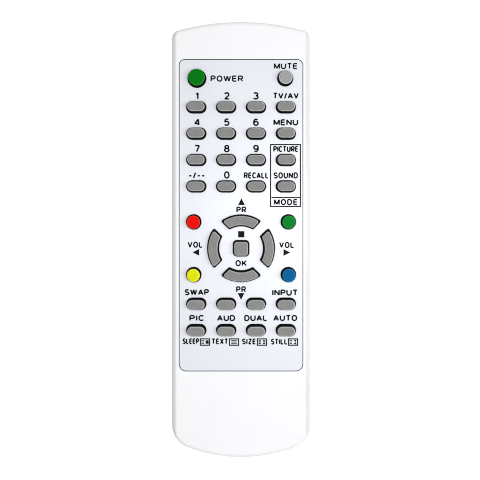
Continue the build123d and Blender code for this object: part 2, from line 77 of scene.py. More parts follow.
def math_method(operation: str, flipped: bool = False) -> Callable[..., "Field"]:
    """Writes a method of Field that adds one Math node.

    Args:
        operation: Blender's name of what the node works out.
        flipped: whether the other value is the first operand.

    Returns:
        The method.
    """

    def method(self: "Field", *others: Operand) -> "Field":
        """Returns the node's result."""
        operands = (*others, self) if flipped else (self, *others)
        return self.graph.node("ShaderNodeMath", "Value", dict(enumerate(operands)), operation=operation)

    return method


class Field:
    """A node socket that takes part in arithmetic. Each operator adds the Math node that works it out.

    The methods above and below give 1 where the value lies above or below the level, and 0 elsewhere.
    at_least and at_most give the larger and the smaller of two values.
    """

    __add__ = __radd__ = math_method("ADD")
    __sub__ = math_method("SUBTRACT")
    __rsub__ = math_method("SUBTRACT", flipped=True)
    __mul__ = __rmul__ = math_method("MULTIPLY")
    __truediv__ = math_method("DIVIDE")
    __rtruediv__ = math_method("DIVIDE", flipped=True)
    __pow__ = math_method("POWER")
    __rpow__ = math_method("POWER", flipped=True)
    __abs__ = math_method("ABSOLUTE")
    above = math_method("GREATER_THAN")
    below = math_method("LESS_THAN")
    at_least = math_method("MAXIMUM")
    at_most = math_method("MINIMUM")
    fraction = math_method("FRACT")

    def __init__(self, graph: "Graph", socket: bpy.types.NodeSocket) -> None:
        """Wraps one output socket of a graph."""
        self.graph = graph
        self.socket = socket

    def rise(self, start: float, end: float) -> "Field":
        """Returns a smooth step from 0 at start to 1 at end."""
        span = {"Value": self, "From Min": start, "From Max": end}
        return self.graph.node("ShaderNodeMapRange", "Result", span, interpolation_type="SMOOTHSTEP")


class Graph:
    """A node tree that is written as expressions."""

    def __init__(self, tree: bpy.types.NodeTree) -> None:
        """Empties the tree."""
        self.tree = tree
        tree.nodes.clear()

    def node(
        self, kind: str, result: str | int | None, inputs: Mapping[str | int, Operand], **settings: Any
    ) -> Field | None:
        """Adds a node.

        Args:
            kind: Blender's name of the node's type.
            result: the output that is wanted, or None.
            inputs: the value, link or list of links of each input, by name, identifier or number.
            settings: the node's own settings, which are set first.

        Returns:
            The wanted output.
        """
        made = self.tree.nodes.new(kind)
        for name, value in settings.items():
            setattr(made, name, value)
        for key, value in inputs.items():
            socket = self.pick(made.inputs, key)
            if isinstance(value, (Field, list)):
                for link in value if isinstance(value, list) else [value]:
                    self.tree.links.new(link.socket, socket)
            elif socket.type == "RGBA" and len(value) == 3:
                socket.default_value = (*value, 1)
            else:
                socket.default_value = value
        return None if result is None else Field(self, self.pick(made.outputs, result))

    @staticmethod
    def pick(sockets: Any, key: str | int) -> bpy.types.NodeSocket:
        """Finds a socket.

        Args:
            sockets: a node's inputs or outputs.
            key: the socket's number, identifier or name.

        Returns:
            The socket.
        """
        if isinstance(key, int):
            return sockets[key]
        by_identifier = [socket for socket in sockets if socket.identifier == key]
        return (by_identifier or [socket for socket in sockets if socket.name == key])[0]


class Pattern(Graph):
    """A material's node tree, with the patterns that the finishes share. Sizes are in metres."""

    def __init__(self, tree: bpy.types.NodeTree) -> None:
        """Starts from the object's own coordinates."""
        super().__init__(tree)
        self.place = self.node("ShaderNodeTexCoord", "Object", {})

    def axis(self, name: str) -> Field:
        """Returns one coordinate of the place, in metres."""
        return self.node("ShaderNodeSeparateXYZ", name, {"Vector": self.place})

    def stretched(self, stretch: tuple[float, float, float]) -> Field:
        """Returns the place with each axis multiplied."""
        scaling = {0: self.place, 1: stretch}
        return self.node("ShaderNodeVectorMath", "Vector", scaling, operation="MULTIPLY")

    def noise(
        self, size: float, detail: float = 2.0, stretch: tuple[float, float, float] = (1, 1, 1)
    ) -> Field:
        """Returns soft noise round 0.5 whose blotches have that size."""
        inputs = {"Vector": self.stretched(stretch), "Scale": 1 / size, "Detail": detail}
        return self.node("ShaderNodeTexNoise", 0, inputs)

    def flecks(self, size: float) -> Field:
        """Fills cells with one value each.

        Args:
            size: size of a cell.

        Returns:
            A value from 0 to 1.
        """
        inputs = {"Vector": self.place, "Scale": 1 / size}
        colour = self.node("ShaderNodeTexVoronoi", "Color", inputs, feature="F1")
        return self.node("ShaderNodeSeparateColor", "Red", {"Color": colour})

    def pits(self, size: float) -> Field:
        """Returns the distance from the nearest of many scattered points, 0 at each point."""
        inputs = {"Vector": self.place, "Scale": 1 / size}
        return self.node("ShaderNodeTexVoronoi", "Distance", inputs, feature="F1")

    def outside_plate(self) -> Field:
        """Measures from the plate's outline in plan, a rectangle with round corners.

        Returns:
            How far a place lies past the outline, less than 0 inside it.
        """
        front_corner, rear_corner = PLATE_CORNERS
        front = self.axis("Y").above(middle("face_panel").y)
        corner = rear_corner + front * (front_corner - rear_corner)
        past = []
        for name, low, high in zip("XY", *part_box("face_panel")):
            away = abs(self.axis(name) - (low + high) / 2)
            past.append(away - (high - low) / 2 + corner)
        clear = [side.at_least(0.0) for side in past]
        inner = past[0].at_least(past[1]).at_most(0.0)
        return (clear[0] * clear[0] + clear[1] * clear[1]) ** 0.5 + inner - corner

    def round_y(self, centre: Vector) -> tuple[Field, Field, Field]:
        """Measures from a line along Y.

        Args:
            centre: a point of the line.

        Returns:
            How far a place lies across, above and away from the line.
        """
        across = self.axis("X") - centre.x
        above = self.axis("Z") - centre.z
        return across, above, (across * across + above * above) ** 0.5

    def mix(self, share: Operand, first: Operand, second: Operand) -> Field:
        """Returns a colour between two, by a share that may vary."""
        inputs = {"Factor_Float": share, "A_Color": first, "B_Color": second}
        return self.node("ShaderNodeMix", "Result_Color", inputs, data_type="RGBA")

    def bump(self, height: Field, depth: float, strength: float = 1.0) -> Field:
        """Returns the normal of a surface whose relief has that depth."""
        inputs = {"Height": height, "Distance": depth, "Strength": strength}
        return self.node("ShaderNodeBump", "Normal", inputs)


@dataclass(frozen=True)
class Finish:
    """A finish that becomes one procedural material.

    Attributes:
        name: what the finish is called.
        colour: main colour, in linear light.
        roughness: mean roughness.
    """

    name: str
    colour: Colour
    roughness: float

    @property
    def full_name(self) -> str:
        """Returns the material's name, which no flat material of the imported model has."""
        return self.name + "_finish"

    def paler(self, share: float) -> Colour:
        """Returns the main colour with a share of white."""
        return blended(self.colour, WHITE, share)

    def inputs(self, pattern: Pattern) -> dict[str, Operand]:
        """Returns the inputs of the Principled shader."""
        raise NotImplementedError

    def material(self) -> bpy.types.Material:
        """Builds the material.

        Returns:
            The material, named after the finish.
        """
        made = bpy.data.materials.new(self.full_name)
        made.use_nodes = True
        made.diffuse_color = (*self.colour, 1)
        pattern = Pattern(made.node_tree)
        shader = pattern.node("ShaderNodeBsdfPrincipled", "BSDF", self.inputs(pattern))
        pattern.node("ShaderNodeOutputMaterial", None, {"Surface": shader})
        return made


@dataclass(frozen=True)
class Moulding(Finish):
    """Satin moulded plastic with an eroded grain, faint clouding, a darker seam and painted shade along the
    long sides and round the plate.

    Attributes:
        grain: size of the grain.
        relief: depth of the grain.
        soil: colour of the darkening along the seam and in the door's grooves, and of the painted shade
            along the long sides. A little of it tints the clouds.
        glue: colour of a dark line painted in the recess round the plate, a painted shade that stands in
            for the shadow in the gap between case and plate.
        glue_width: width of that line.
        glue_reach: how far it reaches below the recess and above the plate.
        grip: how strongly the strip along each long side is darkened, a painted shade that stands in for
            the shade on the rounded long edges.
        grip_width: width of the darkened strip along each long side.
        grip_fade: half of the distance over which the strip sets in.
        grip_core: width of the strip's inner part, which is darkened most.
        core_fade: distance over which that part fades.
        seam_fade: distances from the seam between which its darkening fades.
        groove_start: heights between which the darkening of the door's grooves sets in.
        groove_end: heights between which it fades.
        cloud: size of the clouds in the colour.
    """

    grain: float = 0.32 * MM
    relief: float = 0.006 * MM
    soil: Colour = (0.52, 0.51, 0.49)
    glue: Colour = (0.01, 0.01, 0.011)
    glue_width: float = 0.4 * MM
    glue_reach: float = 0.05 * MM
    grip: float = 0.42
    grip_width: float = 1.7 * MM
    grip_fade: float = 0.25 * MM
    grip_core: float = 0.9 * MM
    core_fade: float = 0.6 * MM
    seam_fade: tuple[float, float] = (0.05 * MM, 0.45 * MM)
    groove_start: tuple[float, float] = (0.12 * MM, 0.4 * MM)
    groove_end: tuple[float, float] = (0.55 * MM, 0.75 * MM)
    cloud: float = 14 * MM

    def inputs(self, pattern: Pattern) -> dict[str, Operand]:
        """Clouds and grains the plastic, darkens its seam and grooves, and paints shade along its long
        sides and in the gap round the plate.

        Args:
            pattern: the material's tree.

        Returns:
            The inputs of the Principled shader.
        """
        height = pattern.axis("Z")
        cloud = pattern.noise(self.cloud, detail=3)
        grain = pattern.noise(self.grain)
        pits = pattern.pits(self.grain * 1.7).rise(0.0, 0.5)
        # Darker along the seam and in the door's grooves.
        seam = 1 - abs(height - SEAM).rise(*self.seam_fade)
        groove = height.rise(*self.groove_start) * (1 - height.rise(*self.groove_end))
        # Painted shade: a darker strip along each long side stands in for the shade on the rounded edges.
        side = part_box("top_case")[1].x - self.grip_width
        across = abs(pattern.axis("X"))
        grip = across.rise(side - self.grip_fade, side + self.grip_fade)
        core = side + self.grip_core
        grip = grip * (1 - across.rise(core, core + self.core_fade) * 0.6)
        darkening_share = seam * 0.35 + groove * pattern.noise(2 * MM) * 0.3
        darkening_share = darkening_share + grip * (self.grip + (cloud - 0.5) * 0.2)
        body = pattern.mix(cloud.rise(0.3, 0.75), self.colour, blended(self.colour, self.soil, 0.05))
        # Painted shade: a near-black line in the recess round the plate stands in for the shadow in the
        # gap.
        recess = abs(pattern.outside_plate()).below(self.glue_width)
        floor, top = PLATE_FLOOR - self.glue_reach, FACE_TOP + self.glue_reach
        body = pattern.mix(recess * height.above(floor) * height.below(top), body, self.glue)
        return {
            "Base Color": pattern.mix(darkening_share.at_most(0.7), body, self.soil),
            "Roughness": self.roughness + (cloud - 0.5) * 0.1 + (grain - 0.5) * 0.08,
            "Normal": pattern.bump(grain * 0.6 + pits * 0.4, self.relief, 0.7),
            "Coat Weight": 0.12,
            "Coat Roughness": 0.2,
            "IOR": 1.49,
        }


@dataclass(frozen=True)
class PrintedSheet(Finish):
    """Pale silver printed sheet with fine pearl flecks, pale cut edges and a dark band along its outline, a
    painted shade of the gap round the plate.

    Attributes:
        fleck: size of a fleck.
        edge: colour of the cut edges.
        rim: colour of the dark band along the outline, a painted shade.
        rim_width: width of that rim.
        print_depth: how far the print reaches down over the edges.
        metallic: how metallic the silver print is.
    """

    fleck: float = 0.11 * MM
    edge: Colour = (0.5, 0.51, 0.54)
    rim: Colour = (0.02, 0.02, 0.022)
    rim_width: float = 0.08 * MM
    print_depth: float = 0.03 * MM
    metallic: float = 0.12

    def inputs(self, pattern: Pattern) -> dict[str, Operand]:
        """Prints flecked silver over cut edges, and paints shade along the outline.

        Args:
            pattern: the material's tree.

        Returns:
            The inputs of the Principled shader.
        """
        flecks = pattern.flecks(self.fleck)
        cloud = pattern.noise(6 * MM, detail=3)
        printed = pattern.axis("Z").above(FACE_TOP - self.print_depth)
        dark = blended(self.colour, (0.0, 0.0, 0.02), 0.06)
        silver = pattern.mix(flecks * 0.7 + cloud * 0.3, dark, self.colour)
        # Painted shade: a dark band along the outline stands in for the shadow of the gap round the plate.
        rim = pattern.outside_plate().above(-self.rim_width)
        return {
            "Base Color": pattern.mix(rim, pattern.mix(printed, self.edge, silver), self.rim),
            "Roughness": self.roughness + (flecks - 0.5) * 0.12,
            "Normal": pattern.bump(pattern.noise(0.5 * MM, detail=3), 0.003 * MM, 0.6),
            "Metallic": printed * self.metallic,
            "Coat Weight": 0.1,
            "Coat Roughness": 0.25,
        }


@dataclass(frozen=True)
class KeyCap(Finish):
    """A moulded key: coloured cap with a pale rim, a painted highlight on its top edge, on a dark body
    whose sides are painted shade, and a carbon pill.

    Attributes:
        rim: colour of the pale rim, a painted highlight on the rounded top edge.
        body: colour below the cap: the carbon pill's own colour, and on the key's sides a painted shade
            that stands in for the shade in the gap round the key.
        cap_depth: how far the cap's colour reaches down from the top.
        cap_fade: height over which the body's dark colour turns into the cap's.
        rim_start: depths below the top between which the rim's painted highlight sets in.
        rim_end: depths between which it fades.
        gloss: strength of the reflections.
    """

    rim: Colour = (0.5, 0.5, 0.49)
    body: Colour = (0.012, 0.012, 0.013)
    cap_depth: float = 0.58 * MM
    cap_fade: float = 0.08 * MM
    rim_start: tuple[float, float] = (0.34 * MM, 0.2 * MM)
    rim_end: tuple[float, float] = (0.1 * MM, 0.01 * MM)
    gloss: float = 0.03

    def inputs(self, pattern: Pattern) -> dict[str, Operand]:
        """Tells cap, pale rim and dark body apart by height: the rim is a painted highlight and the sides
        are painted shade.

        Args:
            pattern: the material's tree.

        Returns:
            The inputs of the Principled shader.
        """
        height = pattern.axis("Z")
        grain = pattern.noise(0.22 * MM, detail=3)
        cloud = pattern.noise(2.4 * MM)
        # Painted shade: below the cap the key's sides take the near-black body colour, standing in for the
        # shade in the gap round the key.
        cap_edge = KEY_TOP - self.cap_depth
        cap = height.rise(cap_edge, cap_edge + self.cap_fade)
        # Painted highlight: a pale band along the rounded top edge.
        start = [KEY_TOP - depth for depth in self.rim_start]
        end = [KEY_TOP - depth for depth in self.rim_end]
        rim = height.rise(*start) * (1 - height.rise(*end))
        top = pattern.mix(cloud.rise(0.25, 0.75), self.colour, blended(self.colour, self.body, 0.1))
        painted_rim_top = pattern.mix(rim * (0.75 + grain * 0.3), top, self.rim)
        return {
            "Base Color": pattern.mix(cap, self.body, painted_rim_top),
            "Roughness": self.roughness + (grain - 0.5) * 0.2 - rim * 0.1,
            "Normal": pattern.bump(grain, 0.012 * MM, 0.7),
            "IOR": 1.45,
            "Specular IOR Level": self.gloss,
        }


@dataclass(frozen=True)
class Ink(Finish):
    """Matt screen-printed ink with thin spots."""

    def inputs(self, pattern: Pattern) -> dict[str, Operand]:
        """Mottles the ink faintly.

        Args:
            pattern: the material's tree.

        Returns:
            The inputs of the Principled shader.
        """
        thin = pattern.noise(0.3 * MM, detail=3)
        return {
            "Base Color": pattern.mix(thin.rise(0.5, 0.9), self.colour, self.paler(0.012)),
            "Roughness": self.roughness + (thin - 0.5) * 0.2,
            "Normal": pattern.bump(thin, 0.003 * MM, 0.5),
            "Specular IOR Level": 0.1,
        }


@dataclass(frozen=True)
class Rubber(Finish):
    """Matt silicone with a dusty bloom."""

    def inputs(self, pattern: Pattern) -> dict[str, Operand]:
        """Mottles the rubber with bloom.

        Args:
            pattern: the material's tree.

        Returns:
            The inputs of the Principled shader.
        """
        bloom = pattern.noise(3 * MM, detail=4)
        grain = pattern.noise(0.25 * MM)
        return {
            "Base Color": pattern.mix(bloom.rise(0.45, 0.8), self.colour, self.paler(0.1)),
            "Roughness": self.roughness + (bloom - 0.5) * 0.15,
            "Normal": pattern.bump(grain, 0.01 * MM, 0.6),
            "Sheen Weight": 0.08,
        }


@dataclass(frozen=True)
class Laminate(Finish):
    """Tan board laminate under a green mask, with copper tracks that run in steps.

    Attributes:
        mask: colour of the lacquer.
        track: colour of the lacquer over copper.
        char: colour of the darker fibres at the bare edge.
        pitch: distance between tracks.
        track_share: half of a track's width, as a share of the pitch.
        run: size of the fields in which the tracks keep their direction.
        lacquer_depth: how far the lacquer reaches down over the edges.
    """

    mask: Colour = (0.02, 0.13, 0.05)
    track: Colour = (0.05, 0.24, 0.09)
    char: Colour = (0.1, 0.06, 0.03)
    pitch: float = 1.6 * MM
    track_share: float = 0.16
    run: float = 11 * MM
    lacquer_depth: float = 0.04 * MM

    def inputs(self, pattern: Pattern) -> dict[str, Operand]:
        """Lays mask and tracks on both faces, and leaves the edge bare.

        Args:
            pattern: the material's tree.

        Returns:
            The inputs of the Principled shader.
        """
        height = pattern.axis("Z")
        bend = pattern.flecks(self.run)
        across = pattern.axis("X") + pattern.axis("Y") * (bend.above(0.55) * 2 - 1) * bend.above(0.25)
        phase = (across / self.pitch).fraction()
        track = abs(phase - 0.5).below(self.track_share) * pattern.noise(7 * MM).above(0.42)
        fibre = pattern.noise(0.5 * MM, detail=3, stretch=(1, 0.15, 1))
        top, bottom = BOARD_TOP - self.lacquer_depth, BOARD_BOTTOM + self.lacquer_depth
        faces = height.above(top) + height.below(bottom)
        bare = pattern.mix(fibre, self.colour, blended(self.colour, self.char, 0.4))
        lacquer = pattern.mix(track, self.mask, self.track)
        return {
            "Base Color": pattern.mix(faces, bare, lacquer),
            "Roughness": self.roughness - faces * 0.2 + (fibre - 0.5) * 0.1,
            "Normal": pattern.bump(track + fibre * 0.2, 0.03 * MM, 0.6),
            "Coat Weight": faces * 0.3,
        }


@dataclass(frozen=True)
class Metal(Finish):
    """Plated metal with drawn lines and faint tarnish.

    Attributes:
        grain: how the drawn lines are stretched, by axis.
        tarnish: colour of the tarnish.
    """

    grain: tuple[float, float, float] = (1, 1, 0.12)
    tarnish: Colour = (0.3, 0.27, 0.22)

    def inputs(self, pattern: Pattern) -> dict[str, Operand]:
        """Brushes and tarnishes the metal.

        Args:
            pattern: the material's tree.

        Returns:
            The inputs of the Principled shader.
        """
        lines = pattern.noise(0.12 * MM, detail=3, stretch=self.grain)
        tarnish = pattern.noise(3 * MM, detail=3).rise(0.5, 0.8)
        return {
            "Base Color": pattern.mix(tarnish * 0.35, self.colour, self.tarnish),
            "Metallic": 1.0,
            "Roughness": self.roughness + (lines - 0.5) * 0.2 + tarnish * 0.15,
            "Normal": pattern.bump(lines, 0.004 * MM, 0.6),
        }


@dataclass(frozen=True)
class Encapsulated(Finish):
    """A small electronic part: a moulded or dipped body with bare metal where its leads or ends are.

    Attributes:
        speck: colour of the pale specks.
        lead_start: the height above which the surface is metal. The default lies above every part.
        grain: size of the body's grain.
    """

    speck: Colour = (0.5, 0.5, 0.5)
    lead_start: float = 1.0
    grain: float = 0.15 * MM

    def inputs(self, pattern: Pattern) -> dict[str, Operand]:
        """Speckles the body and tins the leads.

        Args:
            pattern: the material's tree.

        Returns:
            The inputs of the Principled shader.
        """
        lead = pattern.axis("Z").above(self.lead_start)
        speckle = pattern.flecks(self.grain)
        pale = blended(self.colour, self.speck, 0.1)
        body = pattern.mix(speckle.above(0.8) * 0.6, self.colour, pale)
        return {
            "Base Color": pattern.mix(lead, body, TINNED),
            "Metallic": lead,
            "Roughness": self.roughness + (speckle - 0.5) * 0.1 - lead * 0.1,
            "Normal": pattern.bump(pattern.noise(self.grain), 0.008 * MM, 0.6),
        }


@dataclass(frozen=True)
class ChipResistor(Finish):
    """Glazed ceramic resistors with tinned ends, lying across X.

    Attributes:
        half_body: half of the glazed part's length.
        ends: colour of the ends.
    """

    half_body: float = 1.05 * MM
    ends: Colour = (0.6, 0.6, 0.58)

    def inputs(self, pattern: Pattern) -> dict[str, Operand]:
        """Glazes the bodies and tins their ends.

        Args:
            pattern: the material's tree.

        Returns:
            The inputs of the Principled shader.
        """
        away = abs(pattern.axis("X") - middle("board_resistors").x)
        tinned = away.above(self.half_body)
        glaze = pattern.noise(0.3 * MM)
        body = pattern.mix(glaze.rise(0.4, 0.8), self.colour, self.paler(0.05))
        return {
            "Base Color": pattern.mix(tinned, body, self.ends),
            "Metallic": tinned,
            "Roughness": self.roughness + (glaze - 0.5) * 0.2,
            "Normal": pattern.bump(glaze, 0.01 * MM, 0.5),
        }


@dataclass(frozen=True)
class Sleeve(Finish):
    """The capacitor's shrunk sleeve with its pale stripe, and the bare can at the end.

    Attributes:
        stripe: colour of the stripe.
        can: colour of the can.
    """

    stripe: Colour = (0.55, 0.58, 0.62)
    can: Colour = (0.7, 0.7, 0.7)

    def inputs(self, pattern: Pattern) -> dict[str, Operand]:
        """Shrinks the striped sleeve over the can.

        Args:
            pattern: the material's tree.

        Returns:
            The inputs of the Principled shader.
        """
        low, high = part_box("smoothing_capacitor")
        radius = (high.x - low.x) / 2
        across, above, reach = pattern.round_y((low + high) / 2)
        can = reach.below(radius * 0.8)
        stripe = abs(across - radius * 0.55).below(radius * 0.22) * above.below(0.0)
        wrinkle = pattern.noise(0.8 * MM, detail=3, stretch=(1, 0.3, 1))
        sleeve = pattern.mix(stripe, self.colour, self.stripe)
        return {
            "Base Color": pattern.mix(can, sleeve, self.can),
            "Metallic": can,
            "Roughness": self.roughness + (wrinkle - 0.5) * 0.15,
            "Normal": pattern.bump(wrinkle, 0.02 * MM, 0.5),
        }


@dataclass(frozen=True)
class LampLens(Finish):
    """Dark tinted clear epoxy, with tinned leads behind the flange.

    Attributes:
        glow: colour that swirls in the tint.
        body_length: length of the lens with its flange.
    """

    glow: Colour = (0.2, 0.1, 0.3)
    body_length: float = 8.61 * MM

    def inputs(self, pattern: Pattern) -> dict[str, Operand]:
        """Tints the lens and tins the leads.

        Args:
            pattern: the material's tree.

        Returns:
            The inputs of the Principled shader.
        """
        leads = pattern.axis("Y").below(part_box("ir_lamp")[1].y - self.body_length)
        swirl = pattern.noise(1.5 * MM)
        tint = pattern.mix(swirl.rise(0.3, 0.8), self.colour, blended(self.colour, self.glow, 0.15))
        return {
            "Base Color": pattern.mix(leads, tint, TINNED),
            "Metallic": leads,
            "Roughness": self.roughness + leads * 0.25 + (swirl - 0.5) * 0.04,
            "Normal": pattern.bump(swirl, 0.01 * MM, 0.3),
            "Coat Weight": 1 - leads,
            "Coat Roughness": 0.04,
            "IOR": 1.54,
        }


@dataclass(frozen=True)
class CellJacket(Finish):
    """A cell's printed jacket: a coloured cap band, a thin stripe, a plus and a minus, and steel ends.

    Attributes:
        node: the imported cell.
        way: 1 where the positive end points along +Y, and -1 where it points along -Y.
        band: colour of the band at the positive end.
        stripe: colour of the thin stripe beside the band.
        sign: colour of the plus and the minus.
        scuff: colour of the scuffs.
        steel: colour of the ends.
        jacket_radius: distance from the cell's line at which the jacket starts.
        band_start: where the band starts, from the middle towards the positive end.
        stripe_place: where the stripe's middle lies, likewise.
        stripe_half: half of the stripe's width.
        plus_place: where the plus lies.
        minus_place: where the minus lies.
        sign_line: half of the width of a sign's bar.
        sign_reach: half of its length.
    """

    node: str = ""
    way: int = 1
    band: Colour = (0.04, 0.2, 0.24)
    stripe: Colour = (0.75, 0.75, 0.72)
    sign: Colour = (0.85, 0.85, 0.82)
    scuff: Colour = (0.5, 0.5, 0.5)
    steel: Colour = (0.62, 0.61, 0.58)
    jacket_radius: float = 4.75 * MM
    band_start: float = 9 * MM
    stripe_place: float = 7.6 * MM
    stripe_half: float = 0.5 * MM
    plus_place: float = 15.5 * MM
    minus_place: float = -17 * MM
    sign_line: float = 0.35 * MM
    sign_reach: float = 1.6 * MM

    def bar(self, across: Field, along: Field) -> Field:
        """Returns one bar of a sign, by the offsets across and along it."""
        return abs(across).below(self.sign_line) * abs(along).below(self.sign_reach)

    def inputs(self, pattern: Pattern) -> dict[str, Operand]:
        """Prints the jacket along the cell.

        Args:
            pattern: the material's tree.

        Returns:
            The inputs of the Principled shader.
        """
        centre = middle(self.node)
        across, above, reach = pattern.round_y(centre)
        along = (pattern.axis("Y") - centre.y) * self.way
        steel = reach.below(self.jacket_radius)
        stripe = abs(along - self.stripe_place).below(self.stripe_half)
        plus, minus = along - self.plus_place, along - self.minus_place
        bars = self.bar(plus, across) + self.bar(across, plus) + self.bar(minus, across)
        rubbed = pattern.noise(1.2 * MM, detail=4, stretch=(1, 0.2, 1))
        printed = pattern.mix(along.above(self.band_start), self.colour, self.band)
        printed = pattern.mix(stripe, printed, self.stripe)
        printed = pattern.mix(bars.above(0.5) * above.below(0.0), printed, self.sign)
        printed = pattern.mix(rubbed.rise(0.6, 0.85) * 0.3, printed, self.scuff)
        return {
            "Base Color": pattern.mix(steel, printed, self.steel),
            "Metallic": steel * 0.5 + 0.5,
            "Roughness": self.roughness + (rubbed - 0.5) * 0.25,
            "Normal": pattern.bump(rubbed, 0.006 * MM, 0.5),
            "Coat Weight": (1 - steel) * 0.4,
        }


@dataclass(frozen=True)
class Carbon(Finish):
    """Printed carbon or bare solder: one tone with a fine crust.

    Attributes:
        metallic: 1 for solder, 0 for carbon.
    """

    metallic: float = 0.0

    def inputs(self, pattern: Pattern) -> dict[str, Operand]:
        """Crusts the surface.

        Args:
            pattern: the material's tree.

        Returns:
            The inputs of the Principled shader.
        """
        crust = pattern.noise(0.2 * MM, detail=3)
        return {
            "Base Color": pattern.mix(crust.rise(0.4, 0.8), self.colour, self.paler(0.08)),
            "Metallic": self.metallic,
            "Roughness": self.roughness + (crust - 0.5) * 0.2,
            "Normal": pattern.bump(crust, 0.01 * MM, 0.6),
        }


@dataclass(frozen=True)
class Lamp:
    """A soft rectangular lamp that faces the object.

    Attributes:
        name: name of the lamp.
        place: where it hangs, in metres.
        size: its width, and its length along the object.
        power: its power in watts.
        mirrored: whether glossy surfaces show it.
    """

    name: str
    place: tuple[float, float, float]
    size: tuple[float, float]
    power: float
    mirrored: bool

    def hang(self) -> None:
        """Adds the lamp to the scene."""
        data = bpy.data.lights.new(self.name, "AREA")
        data.shape = "RECTANGLE"
        data.size, data.size_y = self.size
        data.energy = self.power
        lamp = bpy.data.objects.new(self.name, data)
        lamp.location = self.place
        lamp.rotation_euler = (-Vector(self.place)).to_track_quat("-Z", "Y").to_euler()
        lamp.visible_glossy = self.mirrored
        bpy.context.scene.collection.objects.link(lamp)


@dataclass
class Studio:
    """The camera, lamps, white ground and surroundings.

    Attributes:
        camera_place: where the camera hangs, in metres.
        lens: its focal length in millimetres.
        shift: its shift, sideways and along the object.
        softness: width of the filter that softens the pixels.
        lamps: the lamps.
        surround: strength of the surroundings on the object.
        mirrored: how much of the white surroundings glossy surfaces show.
        ground_half: half of the ground's width.
        ground_drop: how far the ground lies below the object.
        paper: colour of the ground, on which the shadow falls.
        glow: strength of the ground's own white.
        glow_share: share of that white beside the object. It rises to 1 further out.
        fade: distances from the middle between which that share rises.
    """

    camera_place: tuple[float, float, float] = (-0.0021, 0.0142, 0.2096)
    lens: float = 39.6
    shift: tuple[float, float] = (0.0100, -0.0828)
    softness: float = 1.0
    lamps: tuple[Lamp, ...] = (
        Lamp("overhead_lamp", (0.0, -0.01, 0.42), (0.2, 0.5), 0.5, mirrored=False),
        Lamp("right_lamp", (0.18, -0.01, 0.36), (0.1, 0.45), 1.07, mirrored=True),
    )
    surround: float = 0.36
    mirrored: float = 0.6
    ground_half: float = 3.0
    ground_drop: float = 0.02 * MM
    paper: Colour = (0.92, 0.92, 0.92)
    glow: float = 1.06
    glow_share: float = 0.93
    fade: tuple[float, float] = (0.1, 0.5)

    def build(self) -> None:
        """Builds everything outside the object."""
        self.set_view()
        self.place_camera()
        self.lay_ground()
        for lamp in self.lamps:
            lamp.hang()

    def set_view(self) -> None:
        """Sets the plain view transform and a world that looks white to the camera."""
        scene = bpy.context.scene
        scene.view_settings.view_transform = "Standard"
        scene.cycles.filter_width = self.softness
        world = bpy.data.worlds.new("studio_surround")
        scene.world = world
        world.use_nodes = True
        graph = Graph(world.node_tree)
        seen = graph.node("ShaderNodeLightPath", "Is Camera Ray", {})
        glossy = graph.node("ShaderNodeLightPath", "Is Glossy Ray", {})
        passed = graph.node("ShaderNodeLightPath", "Is Transmission Ray", {})
        white = (seen + glossy * self.mirrored + passed).at_most(1.0)
        strength = white * (1 - self.surround) + self.surround
        shader = graph.node("ShaderNodeBackground", "Background", {"Color": WHITE, "Strength": strength})
        graph.node("ShaderNodeOutputWorld", None, {"Surface": shader})

    def place_camera(self) -> None:
        """Hangs the camera over the key panel, looking straight down."""
        data = bpy.data.cameras.new("camera")
        data.lens = self.lens
        data.shift_x, data.shift_y = self.shift
        data.clip_start = 0.01
        camera = bpy.data.objects.new("camera", data)
        camera.location = self.camera_place
        bpy.context.scene.collection.objects.link(camera)
        bpy.context.scene.camera = camera

    def lay_ground(self) -> None:
        """Lays a white ground that keeps a faint shadow."""
        mesh = bpy.data.meshes.new("ground")
        corners = ((-1, -1), (1, -1), (1, 1), (-1, 1))
        points = [(x * self.ground_half, y * self.ground_half, -self.ground_drop) for x, y in corners]
        mesh.from_pydata(points, [], [(0, 1, 2, 3)])
        ground = bpy.data.objects.new("ground", mesh)
        bpy.context.scene.collection.objects.link(ground)
        mesh.materials.append(self.ground_white())

    def ground_white(self) -> bpy.types.Material:
        """Makes the ground's white, which glows towards the camera and takes shadows.

        Returns:
            The material.
        """
        material = bpy.data.materials.new("ground_white")
        material.use_nodes = True
        graph = Graph(material.node_tree)
        seen = graph.node("ShaderNodeLightPath", "Is Camera Ray", {})
        place = graph.node("ShaderNodeTexCoord", "Object", {})
        away = graph.node("ShaderNodeVectorMath", "Value", {0: place}, operation="LENGTH")
        share = away.rise(*self.fade) * (1 - self.glow_share) + self.glow_share
        paper = graph.node("ShaderNodeBsdfDiffuse", "BSDF", {"Color": self.paper})
        glow = graph.node("ShaderNodeEmission", "Emission", {"Color": WHITE, "Strength": self.glow})
        mixed = graph.node("ShaderNodeMixShader", 0, {0: seen * share, 1: paper, 2: glow})
        graph.node("ShaderNodeOutputMaterial", None, {"Surface": mixed})
        return material


def dress(node: str, finish: Finish) -> None:
    """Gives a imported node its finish.

    Args:
        node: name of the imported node.
        finish: the finish that its whole surface takes.
    """
    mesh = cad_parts[node].data
    mesh.materials.clear()
    mesh.materials.append(shared_material(finish))
    log.info("%s is finished in %s", node, finish.name)


def shared_material(finish: Finish) -> bpy.types.Material:
    """Returns the finish's material, built once."""
    return bpy.data.materials.get(finish.full_name) or finish.material()


def add_piece(name: str, mesh: bpy.types.Mesh, body: str) -> None:
    """Adds a finished mesh to the object.

    Args:
        name: name of the piece.
        mesh: its mesh, in the frame's place.
        body: the body that it rides on.
    """
    piece = bpy.data.objects.new(name, mesh)
    bpy.context.scene.collection.objects.link(piece)
    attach(piece, body)
    log.info("%s rides on %s with %d faces", name, body, len(mesh.polygons))


